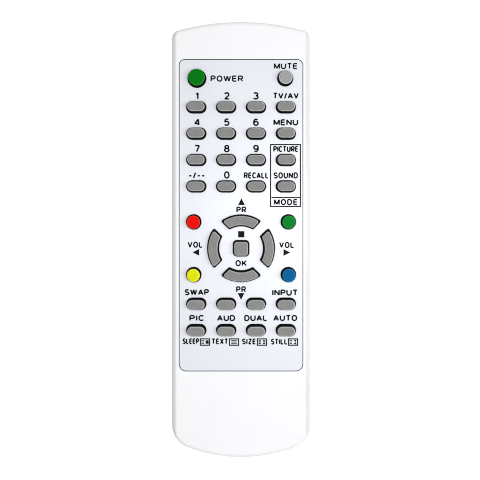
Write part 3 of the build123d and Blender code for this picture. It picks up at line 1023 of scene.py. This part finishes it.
@dataclass
class CaseShells:
    """The two white shells, the battery door and the printed plate.

    Attributes:
        shell: finish of the shells and the door.
        plate: finish of the plate.
    """

    shell: Moulding = Moulding("case_white", (0.86, 0.865, 0.88), 0.42)
    plate: PrintedSheet = PrintedSheet("panel_silver", (0.73, 0.75, 0.8), 0.4)

    def build(self) -> None:
        """Dresses the shells and the plate."""
        for node in ("top_case", "bottom_case", "battery_door"):
            dress(node, self.shell)
        dress("face_panel", self.plate)


@dataclass
class Keys:
    """The keys and the mat that carries them.

    Attributes:
        grey: colour of the plain keys.
        mat: finish of the mat.
    """

    grey: Colour = (0.24, 0.24, 0.238)
    mat: Rubber = Rubber("mat_rubber", (0.12, 0.12, 0.125), 0.7)

    def build(self) -> None:
        """Dresses every key and the mat."""
        # Each rim colour is a painted highlight. The sides of every key take the dark painted shade.
        special = {
            "key_power": KeyCap("key_dark_green", (0.001, 0.18, 0.007), 0.45, rim=(0.02, 0.26, 0.03)),
            "key_mute": KeyCap("key_pale_grey", (0.35, 0.345, 0.345), 0.5, rim=(0.6, 0.6, 0.6)),
            "key_red": KeyCap("key_red", (0.84, 0.003, 0.001), 0.45, rim=(0.95, 0.05, 0.03)),
            "key_green": KeyCap("key_green", (0.001, 0.22, 0.026), 0.45, rim=(0.03, 0.33, 0.06)),
            "key_yellow": KeyCap("key_yellow", (0.72, 0.75, 0.004), 0.45, rim=(0.8, 0.82, 0.1)),
            "key_blue": KeyCap("key_blue", (0.001, 0.117, 0.31), 0.45, rim=(0.04, 0.2, 0.45)),
        }
        common = KeyCap("key_grey", self.grey, 0.5, gloss=0.15)
        for name in KEY_NAMES:
            dress(name, special.get(name, common))
        dress("keypad_mat", self.mat)


class Stamp(Graph):
    """A geometry tree that turns points or lines into a finished piece. Its sizes are named inputs."""

    def __init__(self, name: str) -> None:
        """Makes the tree with its places input and shape output.

        Args:
            name: name of the tree and of the piece that it makes.
        """
        super().__init__(bpy.data.node_groups.new(name, "GeometryNodeTree"))
        self.name = name
        self.sizes: dict[str, float] = {}
        for socket, way in (("Places", "INPUT"), ("Shape", "OUTPUT")):
            self.tree.interface.new_socket(socket, in_out=way, socket_type="NodeSocketGeometry")

    def places(self) -> Field:
        """Returns the points or lines that the piece starts from."""
        return self.node("NodeGroupInput", "Places", {})

    def size(self, name: str, value: float) -> Field:
        """Adds a named input for a size.

        Args:
            name: name of the input.
            value: the size, in metres.

        Returns:
            The input.
        """
        socket = self.tree.interface.new_socket(name, in_out="INPUT", socket_type="NodeSocketFloat")
        self.sizes[socket.identifier] = value
        return self.node("NodeGroupInput", socket.identifier, {})

    def vector(self, x: Operand, y: Operand, z: Operand) -> Field:
        """Returns a vector from three values."""
        return self.node("ShaderNodeCombineXYZ", "Vector", {"X": x, "Y": y, "Z": z})

    def moved(self, shape: Field, offset: Field) -> Field:
        """Returns a shape that is moved by an offset."""
        return self.node("GeometryNodeTransform", "Geometry", {"Geometry": shape, "Translation": offset})

    def joined(self, *shapes: Field) -> Field:
        """Returns several shapes as one."""
        return self.node("GeometryNodeJoinGeometry", "Geometry", {"Geometry": list(shapes)})

    def swept(self, path: Field, width: Field, thickness: Field) -> Field:
        """Sweeps a rectangle along a curve.

        Args:
            path: the curve.
            width: width of the rectangle.
            thickness: its thickness.

        Returns:
            The bar that it leaves.
        """
        section = {"Width": width, "Height": thickness}
        profile = self.node("GeometryNodeCurvePrimitiveQuadrilateral", "Curve", section)
        inputs = {"Curve": path, "Profile Curve": profile, "Fill Caps": True}
        return self.node("GeometryNodeCurveToMesh", "Mesh", inputs)

    def repeated(self, shape: Field) -> Field:
        """Returns the shape put on every place."""
        inputs = {"Points": self.places(), "Instance": shape}
        return self.node("GeometryNodeInstanceOnPoints", "Instances", inputs)

    def piece(
        self, shape: Field, points: list[Vector], edges: list[tuple[int, int]], finish: Finish, body: str
    ) -> None:
        """Adds the tree's result as a plain mesh.

        Args:
            shape: what the tree makes.
            points: the points that it starts from.
            edges: the lines between them, if any.
            finish: the finish of the piece.
            body: the body that the piece rides on.
        """
        real = self.node("GeometryNodeRealizeInstances", "Geometry", {"Geometry": shape})
        material = shared_material(finish)
        done = self.node("GeometryNodeSetMaterial", "Geometry", {"Geometry": real, "Material": material})
        self.node("NodeGroupOutput", None, {"Shape": done})
        seeds = bpy.data.meshes.new(self.name + "_places")
        seeds.from_pydata([tuple(point) for point in points], edges, [])
        add_piece(self.name, self.run(seeds), body)

    def run(self, seeds: bpy.types.Mesh) -> bpy.types.Mesh:
        """Runs the tree.

        Args:
            seeds: the points or lines that it starts from.

        Returns:
            Its result as a plain mesh.
        """
        holder = bpy.data.objects.new(self.name + "_places", seeds)
        bpy.context.scene.collection.objects.link(holder)
        modifier = holder.modifiers.new("stamp", "NODES")
        modifier.node_group = self.tree
        for identifier, value in self.sizes.items():
            modifier[identifier] = value
        bpy.context.view_layer.update()
        depsgraph = bpy.context.evaluated_depsgraph_get()
        mesh = bpy.data.meshes.new_from_object(holder.evaluated_get(depsgraph), depsgraph=depsgraph)
        mesh.name = self.name
        holder.modifiers.clear()
        bpy.data.objects.remove(holder)
        return mesh


class Icon(Enum):
    """The small boxed icons below the last row of keys."""

    LINES = "three wide lines"
    LINES_AND_DOT = "three lines and a dot"
    LINES_AND_GLASS = "three lines and an hourglass"
    QUARTERS = "four small blocks"


class Symbol(Enum):
    """The arrows printed on the plate, with the way that each points, in degrees."""

    UP = 90
    LEFT = 180
    DOWN = 270
    RIGHT = 0


Stroke = list[tuple[float, float]]

# Degrees from one point of a curved stroke to the next.
BOW_STEP = 15


def line(*numbers: float) -> Stroke:
    """Returns a straight or broken stroke through the points x, y, x, y and so on."""
    return list(zip(numbers[::2], numbers[1::2]))


def bow(x: float, y: float, width: float, height: float, start: float, end: float) -> Stroke:
    """Draws a curved stroke.

    Args:
        x: middle of the curve.
        y: middle of the curve.
        width: half of its width.
        height: half of its height.
        start: where it starts, in degrees anticlockwise from the right.
        end: where it ends.

    Returns:
        The stroke.
    """
    steps = max(2, round(abs(end - start) / BOW_STEP))
    turns = [radians(start + (end - start) * step / steps) for step in range(steps + 1)]
    return [(x + width * cos(turn), y + height * sin(turn)) for turn in turns]


def stem(x: float = 0.0) -> Stroke:
    """Returns an upright stroke."""
    return line(x, 0, x, 1)


# The bowl that P and R share. A letter's strokes lie in a box of 1 by 1.
BOWL = line(0, 1, 0.6, 1) + bow(0.6, 0.73, 0.4, 0.27, 75, -75) + line(0.6, 0.46, 0, 0.46)

# Each letter's width, as a share of a plain letter's, and its strokes.
LETTERS: dict[str, tuple[float, list[Stroke]]] = {
    "A": (1.1, [line(0, 0, 0.5, 1), line(0.5, 1, 1, 0), line(0.18, 0.32, 0.82, 0.32)]),
    "C": (0.95, [bow(0.54, 0.5, 0.54, 0.5, 40, 320)]),
    "D": (1.0, [stem(), line(0, 1, 0.45, 1) + bow(0.45, 0.5, 0.55, 0.5, 75, -75) + line(0.45, 0, 0, 0)]),
    "E": (0.85, [stem(), line(0, 1, 1, 1), line(0, 0.52, 0.92, 0.52), line(0, 0, 1, 0)]),
    "I": (0.0, [stem()]),
    "K": (1.0, [stem(), line(0, 0.32, 1, 1), line(0.34, 0.56, 1, 0)]),
    "L": (0.8, [stem(), line(0, 0, 1, 0)]),
    "M": (1.2, [stem(), line(0, 1, 0.5, 0.06), line(0.5, 0.06, 1, 1), stem(1)]),
    "N": (1.0, [stem(), line(0, 1, 1, 0), stem(1)]),
    "O": (1.1, [bow(0.5, 0.5, 0.5, 0.5, 0, 360)]),
    "P": (0.9, [stem(), BOWL]),
    "R": (0.95, [stem(), BOWL, line(0.55, 0.46, 1, 0)]),
    "S": (0.9, [bow(0.5, 0.75, 0.47, 0.25, 25, 270) + bow(0.5, 0.25, 0.5, 0.25, 75, -155)]),
    "T": (0.95, [line(0, 1, 1, 1), stem(0.5)]),
    "U": (1.0, [line(0, 1, 0, 0.4) + bow(0.5, 0.4, 0.5, 0.4, 195, 345) + line(1, 0.4, 1, 1)]),
    "V": (1.05, [line(0, 1, 0.5, 0), line(0.5, 0, 1, 1)]),
    "W": (1.5, [line(0, 1, 0.26, 0), line(0.26, 0, 0.5, 1), line(0.5, 1, 0.74, 0), line(0.74, 0, 1, 1)]),
    "X": (1.0, [line(0, 0, 1, 1), line(0, 1, 1, 0)]),
    "Z": (0.95, [line(0, 1, 1, 1), line(1, 1, 0, 0), line(0, 0, 1, 0)]),
    "/": (0.5, [line(0, -0.06, 1, 1.06)]),
    "-": (0.62, [line(0, 0.4, 1, 0.4)]),
    "0": (1.0, [bow(0.5, 0.5, 0.5, 0.5, 0, 360)]),
    "1": (0.5, [stem(0.8), line(0.8, 1, 0, 0.7)]),
    "2": (1.0, [bow(0.5, 0.7, 0.46, 0.3, 165, -35) + line(0.06, 0), line(0, 0, 1, 0)]),
    "3": (1.0, [bow(0.45, 0.76, 0.46, 0.24, 155, -90), bow(0.45, 0.26, 0.52, 0.26, 90, -155)]),
    "4": (1.0, [stem(0.74), line(0.74, 1, 0, 0.28), line(0, 0.28, 1, 0.28)]),
    "5": (1.0, [line(0.16, 1, 0.9, 1), line(0.16, 1, 0.06, 0.48), bow(0.46, 0.32, 0.5, 0.32, 145, -150)]),
    "6": (1.0, [bow(0.5, 0.5, 0.5, 0.5, 45, 180) + line(0, 0.32), bow(0.5, 0.31, 0.5, 0.31, 0, 360)]),
    "7": (1.0, [line(0, 1, 1, 1), line(1, 1, 0.35, 0)]),
    "8": (1.0, [bow(0.5, 0.76, 0.42, 0.24, 0, 360), bow(0.5, 0.27, 0.5, 0.27, 0, 360)]),
    "9": (1.0, [bow(0.5, 0.5, 0.5, 0.5, 225, 360) + line(1, 0.68), bow(0.5, 0.69, 0.5, 0.31, 0, 360)]),
}


class Pen(Enum):
    """The pens that print the legends.

    Attributes:
        width: width of a stroke, in millimetres.
        gap: gap between two letters, as a share of a plain letter's width.
        height: height of a capital, in millimetres.
    """

    DIGITS = (0.58, 0.5, 2.75)
    WORDS = (0.5, 0.5, 2.3)
    BOLD_WORDS = (0.55, 0.5, 2.3)
    NARROW_WORDS = (0.52, 0.6, 2.3)
    SMALL_WORDS = (0.5, 0.66, 2.15)

    def __init__(self, width: float, gap: float, height: float) -> None:
        """Names the sizes of a pen."""
        self.width, self.gap, self.height = width, gap, height


@dataclass(frozen=True)
class Word:
    """A printed word or number.

    Attributes:
        text: what it says.
        key: the key that it belongs to, without the key_ of its node's name.
        dx: offset to the right of the key's middle, in millimetres.
        dy: offset towards the lamp, in millimetres.
        width: width in millimetres.
    """

    text: str
    key: str
    dx: float
    dy: float
    width: float

    def strokes(self, pen: Pen) -> list[Stroke]:
        """Draws the word in place.

        Args:
            pen: the pen that prints it.

        Returns:
            The middle lines of its strokes, in metres.
        """
        total = sum(LETTERS[letter][0] for letter in self.text) + pen.gap * (len(self.text) - 1)
        across = (self.width - pen.width) / total
        up = pen.height - pen.width
        key = middle("key_" + self.key)
        left = key.x + (self.dx - across * total / 2) * MM
        low = key.y + (self.dy - up / 2) * MM
        drawn = []
        for letter in self.text:
            share, strokes = LETTERS[letter]
            wide = share * across * MM
            drawn += [[(left + x * wide, low + y * up * MM) for x, y in stroke] for stroke in strokes]
            left += (share + pen.gap) * across * MM
        return drawn


def digits() -> list[Word]:
    """Places the ten numbers, each just above its key.

    Returns:
        The numbers from 0 to 9.
    """
    drift = (0.35, 0.25, 0.0)
    rise = 4.1
    plain_width = 2.1
    own_widths = {1: 1.3, 4: 2.35}
    numbers = []
    for digit in range(10):
        column = 1 if digit == 0 else (digit - 1) % 3
        width = own_widths.get(digit, plain_width)
        numbers.append(Word(str(digit), f"digit_{digit}", drift[column], rise, width))
    return numbers


WORDS: dict[Pen, list[Word]] = {
    Pen.DIGITS: digits(),
    Pen.WORDS: [
        Word("POWER", "power", 10.8, -0.1, 11.8),
        Word("MUTE", "mute", 0.2, 4.4, 8.6),
    ],
    Pen.BOLD_WORDS: [
        Word("TV/AV", "source", 0.0, 4.1, 9.4),
        Word("MENU", "menu", 0.0, 4.05, 8.95),
        Word("-/--", "dash", 0.2, 4.0, 6.1),
        Word("SWAP", "swap", 0.2, 4.2, 8.8),
        Word("INPUT", "input", -0.3, 4.05, 9.3),
        Word("PIC", "sleep", 0.2, 4.4, 5.4),
        Word("AUD", "text", 0.0, 4.4, 6.6),
        Word("DUAL", "size", -0.05, 4.4, 8.4),
        Word("AUTO", "still", -0.2, 4.4, 8.7),
    ],
    Pen.NARROW_WORDS: [
        Word("PICTURE", "picture", 0.0, 3.95, 9.1),
        Word("SOUND", "sound", 0.0, 3.95, 8.85),
        Word("MODE", "sound", 0.0, -5.65, 8.6),
        Word("RECALL", "recall", 0.1, 3.95, 9.0),
        Word("PR", "ok", 0.1, 13.9, 3.6),
        Word("VOL", "ok", -16.5, 1.3, 5.5),
        Word("VOL", "ok", 16.45, 1.2, 5.5),
        Word("OK", "ok", 0.05, -5.35, 4.2),
        Word("PR", "ok", 0.0, -14.8, 3.6),
    ],
    Pen.SMALL_WORDS: [
        Word("SLEEP", "sleep", -1.95, -3.95, 6.0),
        Word("TEXT", "text", -2.25, -4.0, 6.0),
        Word("SIZE", "size", -2.5, -4.05, 5.1),
        Word("STILL", "still", -2.4, -4.1, 6.0),
    ],
}


@dataclass
class InkSheet:
    """Flat shapes of ink on the plate, which become one piece. Sizes without a unit are in millimetres.

    Attributes:
        ink: the ink.
        thickness: its thickness, in metres.
        shapes: the shapes so far.
    """

    ink: Ink
    thickness: float
    shapes: bmesh.types.BMesh = field(default_factory=bmesh.new)

    def shape(self, points: list[tuple[float, float]]) -> None:
        """Adds one flat shape.

        Args:
            points: its corners in metres, anticlockwise.
        """
        low = [self.shapes.verts.new((x, y, FACE_TOP)) for x, y in points]
        high = [self.shapes.verts.new((x, y, FACE_TOP + self.thickness)) for x, y in points]
        self.shapes.faces.new(high)
        self.shapes.faces.new(low[::-1])
        for step in range(len(points)):
            after = (step + 1) % len(points)
            self.shapes.faces.new((low[step], low[after], high[after], high[step]))

    def bar(self, origin: Vector, offset: tuple[float, float], width: float, height: float) -> None:
        """Adds one rectangle.

        Args:
            origin: the place that it is measured from, in metres.
            offset: its middle's offset from there.
            width: its width.
            height: its height.
        """
        corners = ((-0.5, -0.5), (0.5, -0.5), (0.5, 0.5), (-0.5, 0.5))
        x, y = origin.x + offset[0] * MM, origin.y + offset[1] * MM
        self.shape([(x + a * width * MM, y + b * height * MM) for a, b in corners])

    def border(self, centre: Vector, width: float, height: float, rule: float) -> None:
        """Adds an open rectangle.

        Args:
            centre: its middle, in metres.
            width: its outer width.
            height: its outer height.
            rule: width of its lines.
        """
        for side in (-0.5, 0.5):
            self.bar(centre, (0, side * (height - rule)), width, rule)
            self.bar(centre, (side * (width - rule), 0), rule, height - 2 * rule)

    def lay(self, name: str) -> None:
        """Turns the shapes into a printed piece on the case.

        Args:
            name: name of the piece.
        """
        mesh = bpy.data.meshes.new(name)
        self.shapes.to_mesh(mesh)
        self.shapes.free()
        mesh.materials.append(shared_material(self.ink))
        add_piece(name, mesh, "case")


@dataclass
class BoxedIcons:
    """The small boxed icons below the last row of keys. Sizes are in millimetres.

    Attributes:
        icons: each icon, its key and how far its box lies to the right of the key's middle.
        width: outer width of a box.
        height: its outer height.
        drop: how far the boxes lie below their keys' middles.
        rule: width of a box's lines.
        line: height of a printed line in a box.
        line_pitch: distance between two of these lines.
        wide_line: length of a line that has the box for itself.
        short_line: length of a line in the left half of a box.
        block: width and height of a block.
        block_rise: how far a block's middle lies above or below the box's.
        dot: width and height of the dot.
        glass: half of the hourglass's width and height.
    """

    icons: tuple[tuple[Icon, str, float], ...] = (
        (Icon.LINES_AND_DOT, "sleep", 3.15),
        (Icon.LINES, "text", 2.85),
        (Icon.QUARTERS, "size", 2.15),
        (Icon.LINES_AND_GLASS, "still", 2.6),
    )
    width: float = 3.7
    height: float = 2.7
    drop: float = 4.25
    rule: float = 0.42
    line: float = 0.3
    line_pitch: float = 0.55
    wide_line: float = 2.0
    short_line: float = 0.95
    block: tuple[float, float] = (0.85, 0.55)
    block_rise: float = 0.42
    dot: tuple[float, float] = (1.1, 1.25)
    glass: tuple[float, float] = (0.6, 0.8)

    @property
    def side(self) -> float:
        """Returns how far the middle of either half lies from the middle of a box."""
        return self.width / 4 - self.rule / 3

    def draw(self, sheet: InkSheet) -> None:
        """Draws every box and what stands in it.

        Args:
            sheet: the ink that they are drawn in.
        """
        for icon, key, dx in self.icons:
            centre = middle("key_" + key) + Vector((dx * MM, -self.drop * MM, 0))
            sheet.border(centre, self.width, self.height, self.rule)
            if icon is Icon.QUARTERS:
                self.draw_blocks(sheet, centre)
            else:
                self.draw_lines(sheet, centre, icon)

    def draw_blocks(self, sheet: InkSheet, centre: Vector) -> None:
        """Draws the four blocks.

        Args:
            sheet: the ink that they are drawn in.
            centre: the middle of the box.
        """
        for across in (-self.side, self.side):
            for up in (-self.block_rise, self.block_rise):
                sheet.bar(centre, (across, up), *self.block)

    def draw_lines(self, sheet: InkSheet, centre: Vector, icon: Icon) -> None:
        """Draws the three lines of an icon, with the sign beside them.

        Args:
            sheet: the ink that they are drawn in.
            centre: the middle of the box.
            icon: which icon it is.
        """
        width, shift = (self.wide_line, 0.0) if icon is Icon.LINES else (self.short_line, -self.side)
        for up in (-self.line_pitch, 0.0, self.line_pitch):
            sheet.bar(centre, (shift, up), width, self.line)
        if icon is Icon.LINES_AND_DOT:
            sheet.bar(centre, (self.side, 0), *self.dot)
        if icon is Icon.LINES_AND_GLASS:
            x, y = centre.x + self.side * MM, centre.y
            wide, tall = self.glass[0] * MM, self.glass[1] * MM
            sheet.shape([(x - wide, y - tall), (x + wide, y - tall), (x, y)])
            sheet.shape([(x, y), (x + wide, y + tall), (x - wide, y + tall)])


@dataclass
class Legends:
    """The legends printed on the plate, as thin layers of ink. Sizes without a unit are in millimetres.

    Attributes:
        ink: the ink.
        thickness: its thickness, in metres.
        triangle: length and width of an arrow.
        square: side of the square above the ok key.
        square_place: its offset from the key's middle.
        arrows: each arrow and its offset from the same middle.
        rule: width of the large frame's lines.
        border: left, right, top and bottom of that frame, from the picture key's middle.
        divider: the line across it, likewise.
        icons: the small boxed icons.
    """

    ink: Ink = Ink("legend_ink", (0.004, 0.004, 0.005), 0.6)
    thickness: float = 0.02 * MM
    triangle: float = 2.45
    square: float = 2.25
    square_place: tuple[float, float] = (0.08, 5.05)
    arrows: tuple[tuple[Symbol, float, float], ...] = (
        (Symbol.UP, 0.15, 16.8),
        (Symbol.DOWN, 0.0, -17.35),
        (Symbol.LEFT, -16.3, -1.45),
        (Symbol.RIGHT, 16.5, -1.5),
    )
    rule: float = 0.42
    border: tuple[float, float, float, float] = (-5.7, 5.45, 5.75, -16.95)
    divider: float = -13.5
    icons: BoxedIcons = field(default_factory=BoxedIcons)

    def build(self) -> None:
        """Prints digits, words, symbols, the frame round two keys and the small icons."""
        for pen, words in WORDS.items():
            self.print_words(pen, words)
        self.print_symbols()
        self.print_frame()
        self.print_icons()

    def print_words(self, pen: Pen, words: list[Word]) -> None:
        """Prints all words of one pen as one piece.

        Args:
            pen: the pen.
            words: the words.
        """
        stamp = Stamp(f"legend_{pen.name.lower()}")
        width = stamp.size("Pen Width", pen.width * MM)
        thickness = stamp.size("Ink Thickness", self.thickness)
        lines = stamp.node("GeometryNodeMeshToCurve", "Curve", {"Mesh": stamp.places()})
        flat = stamp.node("GeometryNodeSetCurveNormal", "Curve", {"Curve": lines}, mode="Z_UP")
        ink = stamp.swept(flat, width, thickness)
        ink = stamp.node("GeometryNodeSetShadeSmooth", "Geometry", {"Geometry": ink, "Shade Smooth": False})
        points, edges = self.trace(pen, words)
        stamp.piece(ink, points, edges, self.ink, "case")

    def trace(self, pen: Pen, words: list[Word]) -> tuple[list[Vector], list[tuple[int, int]]]:
        """Lays out the middle lines of words, halfway up in the ink.

        Args:
            pen: the pen that prints them.
            words: the words.

        Returns:
            The points of the lines, and the pairs of points that they join.
        """
        points: list[Vector] = []
        edges: list[tuple[int, int]] = []
        height = FACE_TOP + self.thickness / 2
        for stroke in (stroke for word in words for stroke in word.strokes(pen)):
            closed = (Vector(stroke[0]) - Vector(stroke[-1])).length < 0.001 * MM
            first = len(points)
            points += [Vector((x, y, height)) for x, y in (stroke[:-1] if closed else stroke)]
            edges += [(step, step + 1) for step in range(first, len(points) - 1)]
            if closed:
                edges.append((len(points) - 1, first))
        return points, edges

    def print_symbols(self) -> None:
        """Prints the four arrows and the square round the ok key."""
        sheet = InkSheet(self.ink, self.thickness)
        ok = middle("key_ok")
        reach = self.triangle / 2
        for symbol, dx, dy in self.arrows:
            turn = Matrix.Rotation(radians(symbol.value), 2)
            corners = [turn @ Vector(corner) for corner in ((reach, 0), (-reach, reach), (-reach, -reach))]
            sheet.shape([(ok.x + (dx + p.x) * MM, ok.y + (dy + p.y) * MM) for p in corners])
        sheet.bar(ok, self.square_place, self.square, self.square)
        sheet.lay("legend_symbols")

    def print_frame(self) -> None:
        """Prints the frame round the picture and sound keys, with a box for a word at its foot."""
        sheet = InkSheet(self.ink, self.thickness)
        key = middle("key_picture")
        left, right, top, bottom = self.border
        centre = key + Vector(((left + right) / 2 * MM, (top + bottom) / 2 * MM, 0))
        sheet.border(centre, right - left, top - bottom, self.rule)
        sheet.bar(key, (0, self.divider), right - left - 2 * self.rule, self.rule)
        sheet.lay("legend_frame")

    def print_icons(self) -> None:
        """Prints the small boxed icons."""
        sheet = InkSheet(self.ink, self.thickness)
        self.icons.draw(sheet)
        sheet.lay("legend_icons")


@dataclass
class Electronics:
    """The board, the parts on it, the lamp and the small printed and soldered details.

    Attributes:
        chip_gap: how far the control chip's body stands off the board.
        transistor_gap: how far the transistor's body does.
        pad_radius: radius of a contact pad.
        pad_thickness: thickness of its carbon.
        finger_width: width of one finger of carbon.
        finger_count: number of fingers on a pad.
        finger_reach: length of a finger across the middle, as a share of the pad's radius.
        finger_stagger: how far fingers are shifted in turn, as a share of the same.
        ring_sides: number of sides of the ring round a pad.
        solder_radius: radius of a fillet of solder.
        solder_height: its height.
        solder_length: its length along the chip, as a share of that across.
        solder_drop: how far its middle lies below the board, as a share of its height.
        leg_pitch: distance between two legs of the chip.
        leg_count: number of legs on each of its sides.
    """

    chip_gap: float = 0.26 * MM
    transistor_gap: float = 0.79 * MM
    pad_radius: float = 1.5 * MM
    pad_thickness: float = 0.03 * MM
    finger_width: float = 0.28 * MM
    finger_count: int = 5
    finger_reach: float = 1.7
    finger_stagger: float = 0.08
    ring_sides: int = 24
    solder_radius: float = 0.34 * MM
    solder_height: float = 0.2 * MM
    solder_length: float = 0.8
    solder_drop: float = 0.55
    leg_pitch: float = 1.27 * MM
    leg_count: int = 14

    def build(self) -> None:
        """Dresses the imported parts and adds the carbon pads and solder."""
        black = (0.02, 0.02, 0.022)
        chip_legs = BOARD_BOTTOM - self.chip_gap
        transistor_legs = BOARD_BOTTOM - self.transistor_gap
        finishes = {
            "circuit_board": Laminate("board_laminate", (0.45, 0.28, 0.1), 0.55),
            "control_chip": Encapsulated("chip_black", black, 0.55, lead_start=chip_legs),
            "lamp_transistor": Encapsulated("transistor_black", black, 0.5, lead_start=transistor_legs),
            "resonator": Encapsulated("resonator_brown", (0.4, 0.16, 0.04), 0.3, grain=0.4 * MM),
            "smoothing_capacitor": Sleeve("capacitor_sleeve", (0.02, 0.03, 0.09), 0.35),
            "board_resistors": ChipResistor("resistor_ceramic", (0.03, 0.03, 0.035), 0.35),
            "board_screws": Metal("screw_steel", (0.55, 0.55, 0.56), 0.32),
            "ir_lamp": LampLens("lamp_lens", (0.05, 0.03, 0.09), 0.12),
        }
        for node, finish in finishes.items():
            dress(node, finish)
        self.print_pads()
        self.solder_legs()

    @staticmethod
    def pill_place(key: str) -> Vector:
        """Finds where a key's contact pill meets the board.

        Args:
            key: the key's node.

        Returns:
            The middle of the pill, on top of the board.
        """
        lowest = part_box(key)[0].z
        near = [v.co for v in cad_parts[key].data.vertices if v.co.z < lowest + 0.01 * MM]
        across, along = sum(p.x for p in near), sum(p.y for p in near)
        return Vector((across / len(near), along / len(near), BOARD_TOP))

    def print_pads(self) -> None:
        """Prints a comb of carbon fingers inside a thin ring under every key."""
        stamp = Stamp("contact_pads")
        radius = stamp.size("Radius", self.pad_radius)
        thickness = stamp.size("Thickness", self.pad_thickness)
        width = stamp.size("Finger Width", self.finger_width)
        circle = {"Radius": radius, "Resolution": self.ring_sides}
        loop = stamp.node("GeometryNodeCurvePrimitiveCircle", "Curve", circle)
        ring = stamp.swept(loop, width, thickness)
        shapes = [stamp.moved(ring, stamp.vector(0.0, 0.0, thickness / 2))]
        for finger in range(self.finger_count):
            share = (finger - (self.finger_count - 1) / 2) / (self.finger_count / 2)
            chord = (1 - share * share) ** 0.5
            size = stamp.vector(width, radius * (self.finger_reach * chord), thickness)
            box = stamp.node("GeometryNodeMeshCube", "Mesh", {"Size": size})
            side = self.finger_stagger if finger % 2 else -self.finger_stagger
            shapes.append(stamp.moved(box, stamp.vector(radius * share, radius * side, thickness / 2)))
        places = [self.pill_place(name) for name in KEY_NAMES]
        carbon = Carbon("carbon_print", (0.015, 0.015, 0.016), 0.6)
        stamp.piece(stamp.repeated(stamp.joined(*shapes)), places, [], carbon, "case")

    def solder_legs(self) -> None:
        """Wets each leg of the control chip with a small fillet of solder."""
        stamp = Stamp("chip_solder")
        radius = stamp.size("Radius", self.solder_radius)
        height = stamp.size("Height", self.solder_height)
        ball = stamp.node("GeometryNodeMeshIcoSphere", "Mesh", {"Radius": 1.0, "Subdivisions": 2})
        scale = stamp.vector(radius, radius * self.solder_length, height)
        shape = stamp.node("GeometryNodeTransform", "Geometry", {"Geometry": ball, "Scale": scale})
        low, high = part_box("control_chip")
        centre = (low + high) / 2
        drop = self.solder_height * self.solder_drop
        places = []
        for side in (low.x, high.x):
            for leg in range(self.leg_count):
                along = centre.y + (leg - (self.leg_count - 1) / 2) * self.leg_pitch
                places.append(Vector((side, along, BOARD_BOTTOM - drop)))
        solder = Carbon("solder", (0.6, 0.6, 0.6), 0.3, metallic=1.0)
        stamp.piece(stamp.repeated(shape), places, [], solder, "case")


@dataclass
class BatteryBay:
    """The cells and their contacts.

    Attributes:
        jacket: main colour of the cells' jackets.
        plated: finish of the contacts.
    """

    jacket: Colour = (0.3, 0.31, 0.33)
    plated: Metal = Metal("contact_steel", (0.62, 0.61, 0.59), 0.28)

    def build(self) -> None:
        """Dresses the cells and contacts."""
        for side, way in (("left", 1), ("right", -1)):
            node = f"cell_{side}"
            dress(node, CellJacket(f"cell_jacket_{side}", self.jacket, 0.35, node=node, way=way))
        for node in ("contact_plus", "contact_minus", "contact_bridge"):
            dress(node, self.plated)


def main() -> None:
    """Builds the studio and dresses each sub-assembly in order."""
    logging.basicConfig(level=logging.INFO, format="%(name)s: %(message)s")
    Studio().build()
    for part in (CaseShells(), Keys(), Legends(), Electronics(), BatteryBay()):
        part.build()


if __name__ == "__main__":
    main()
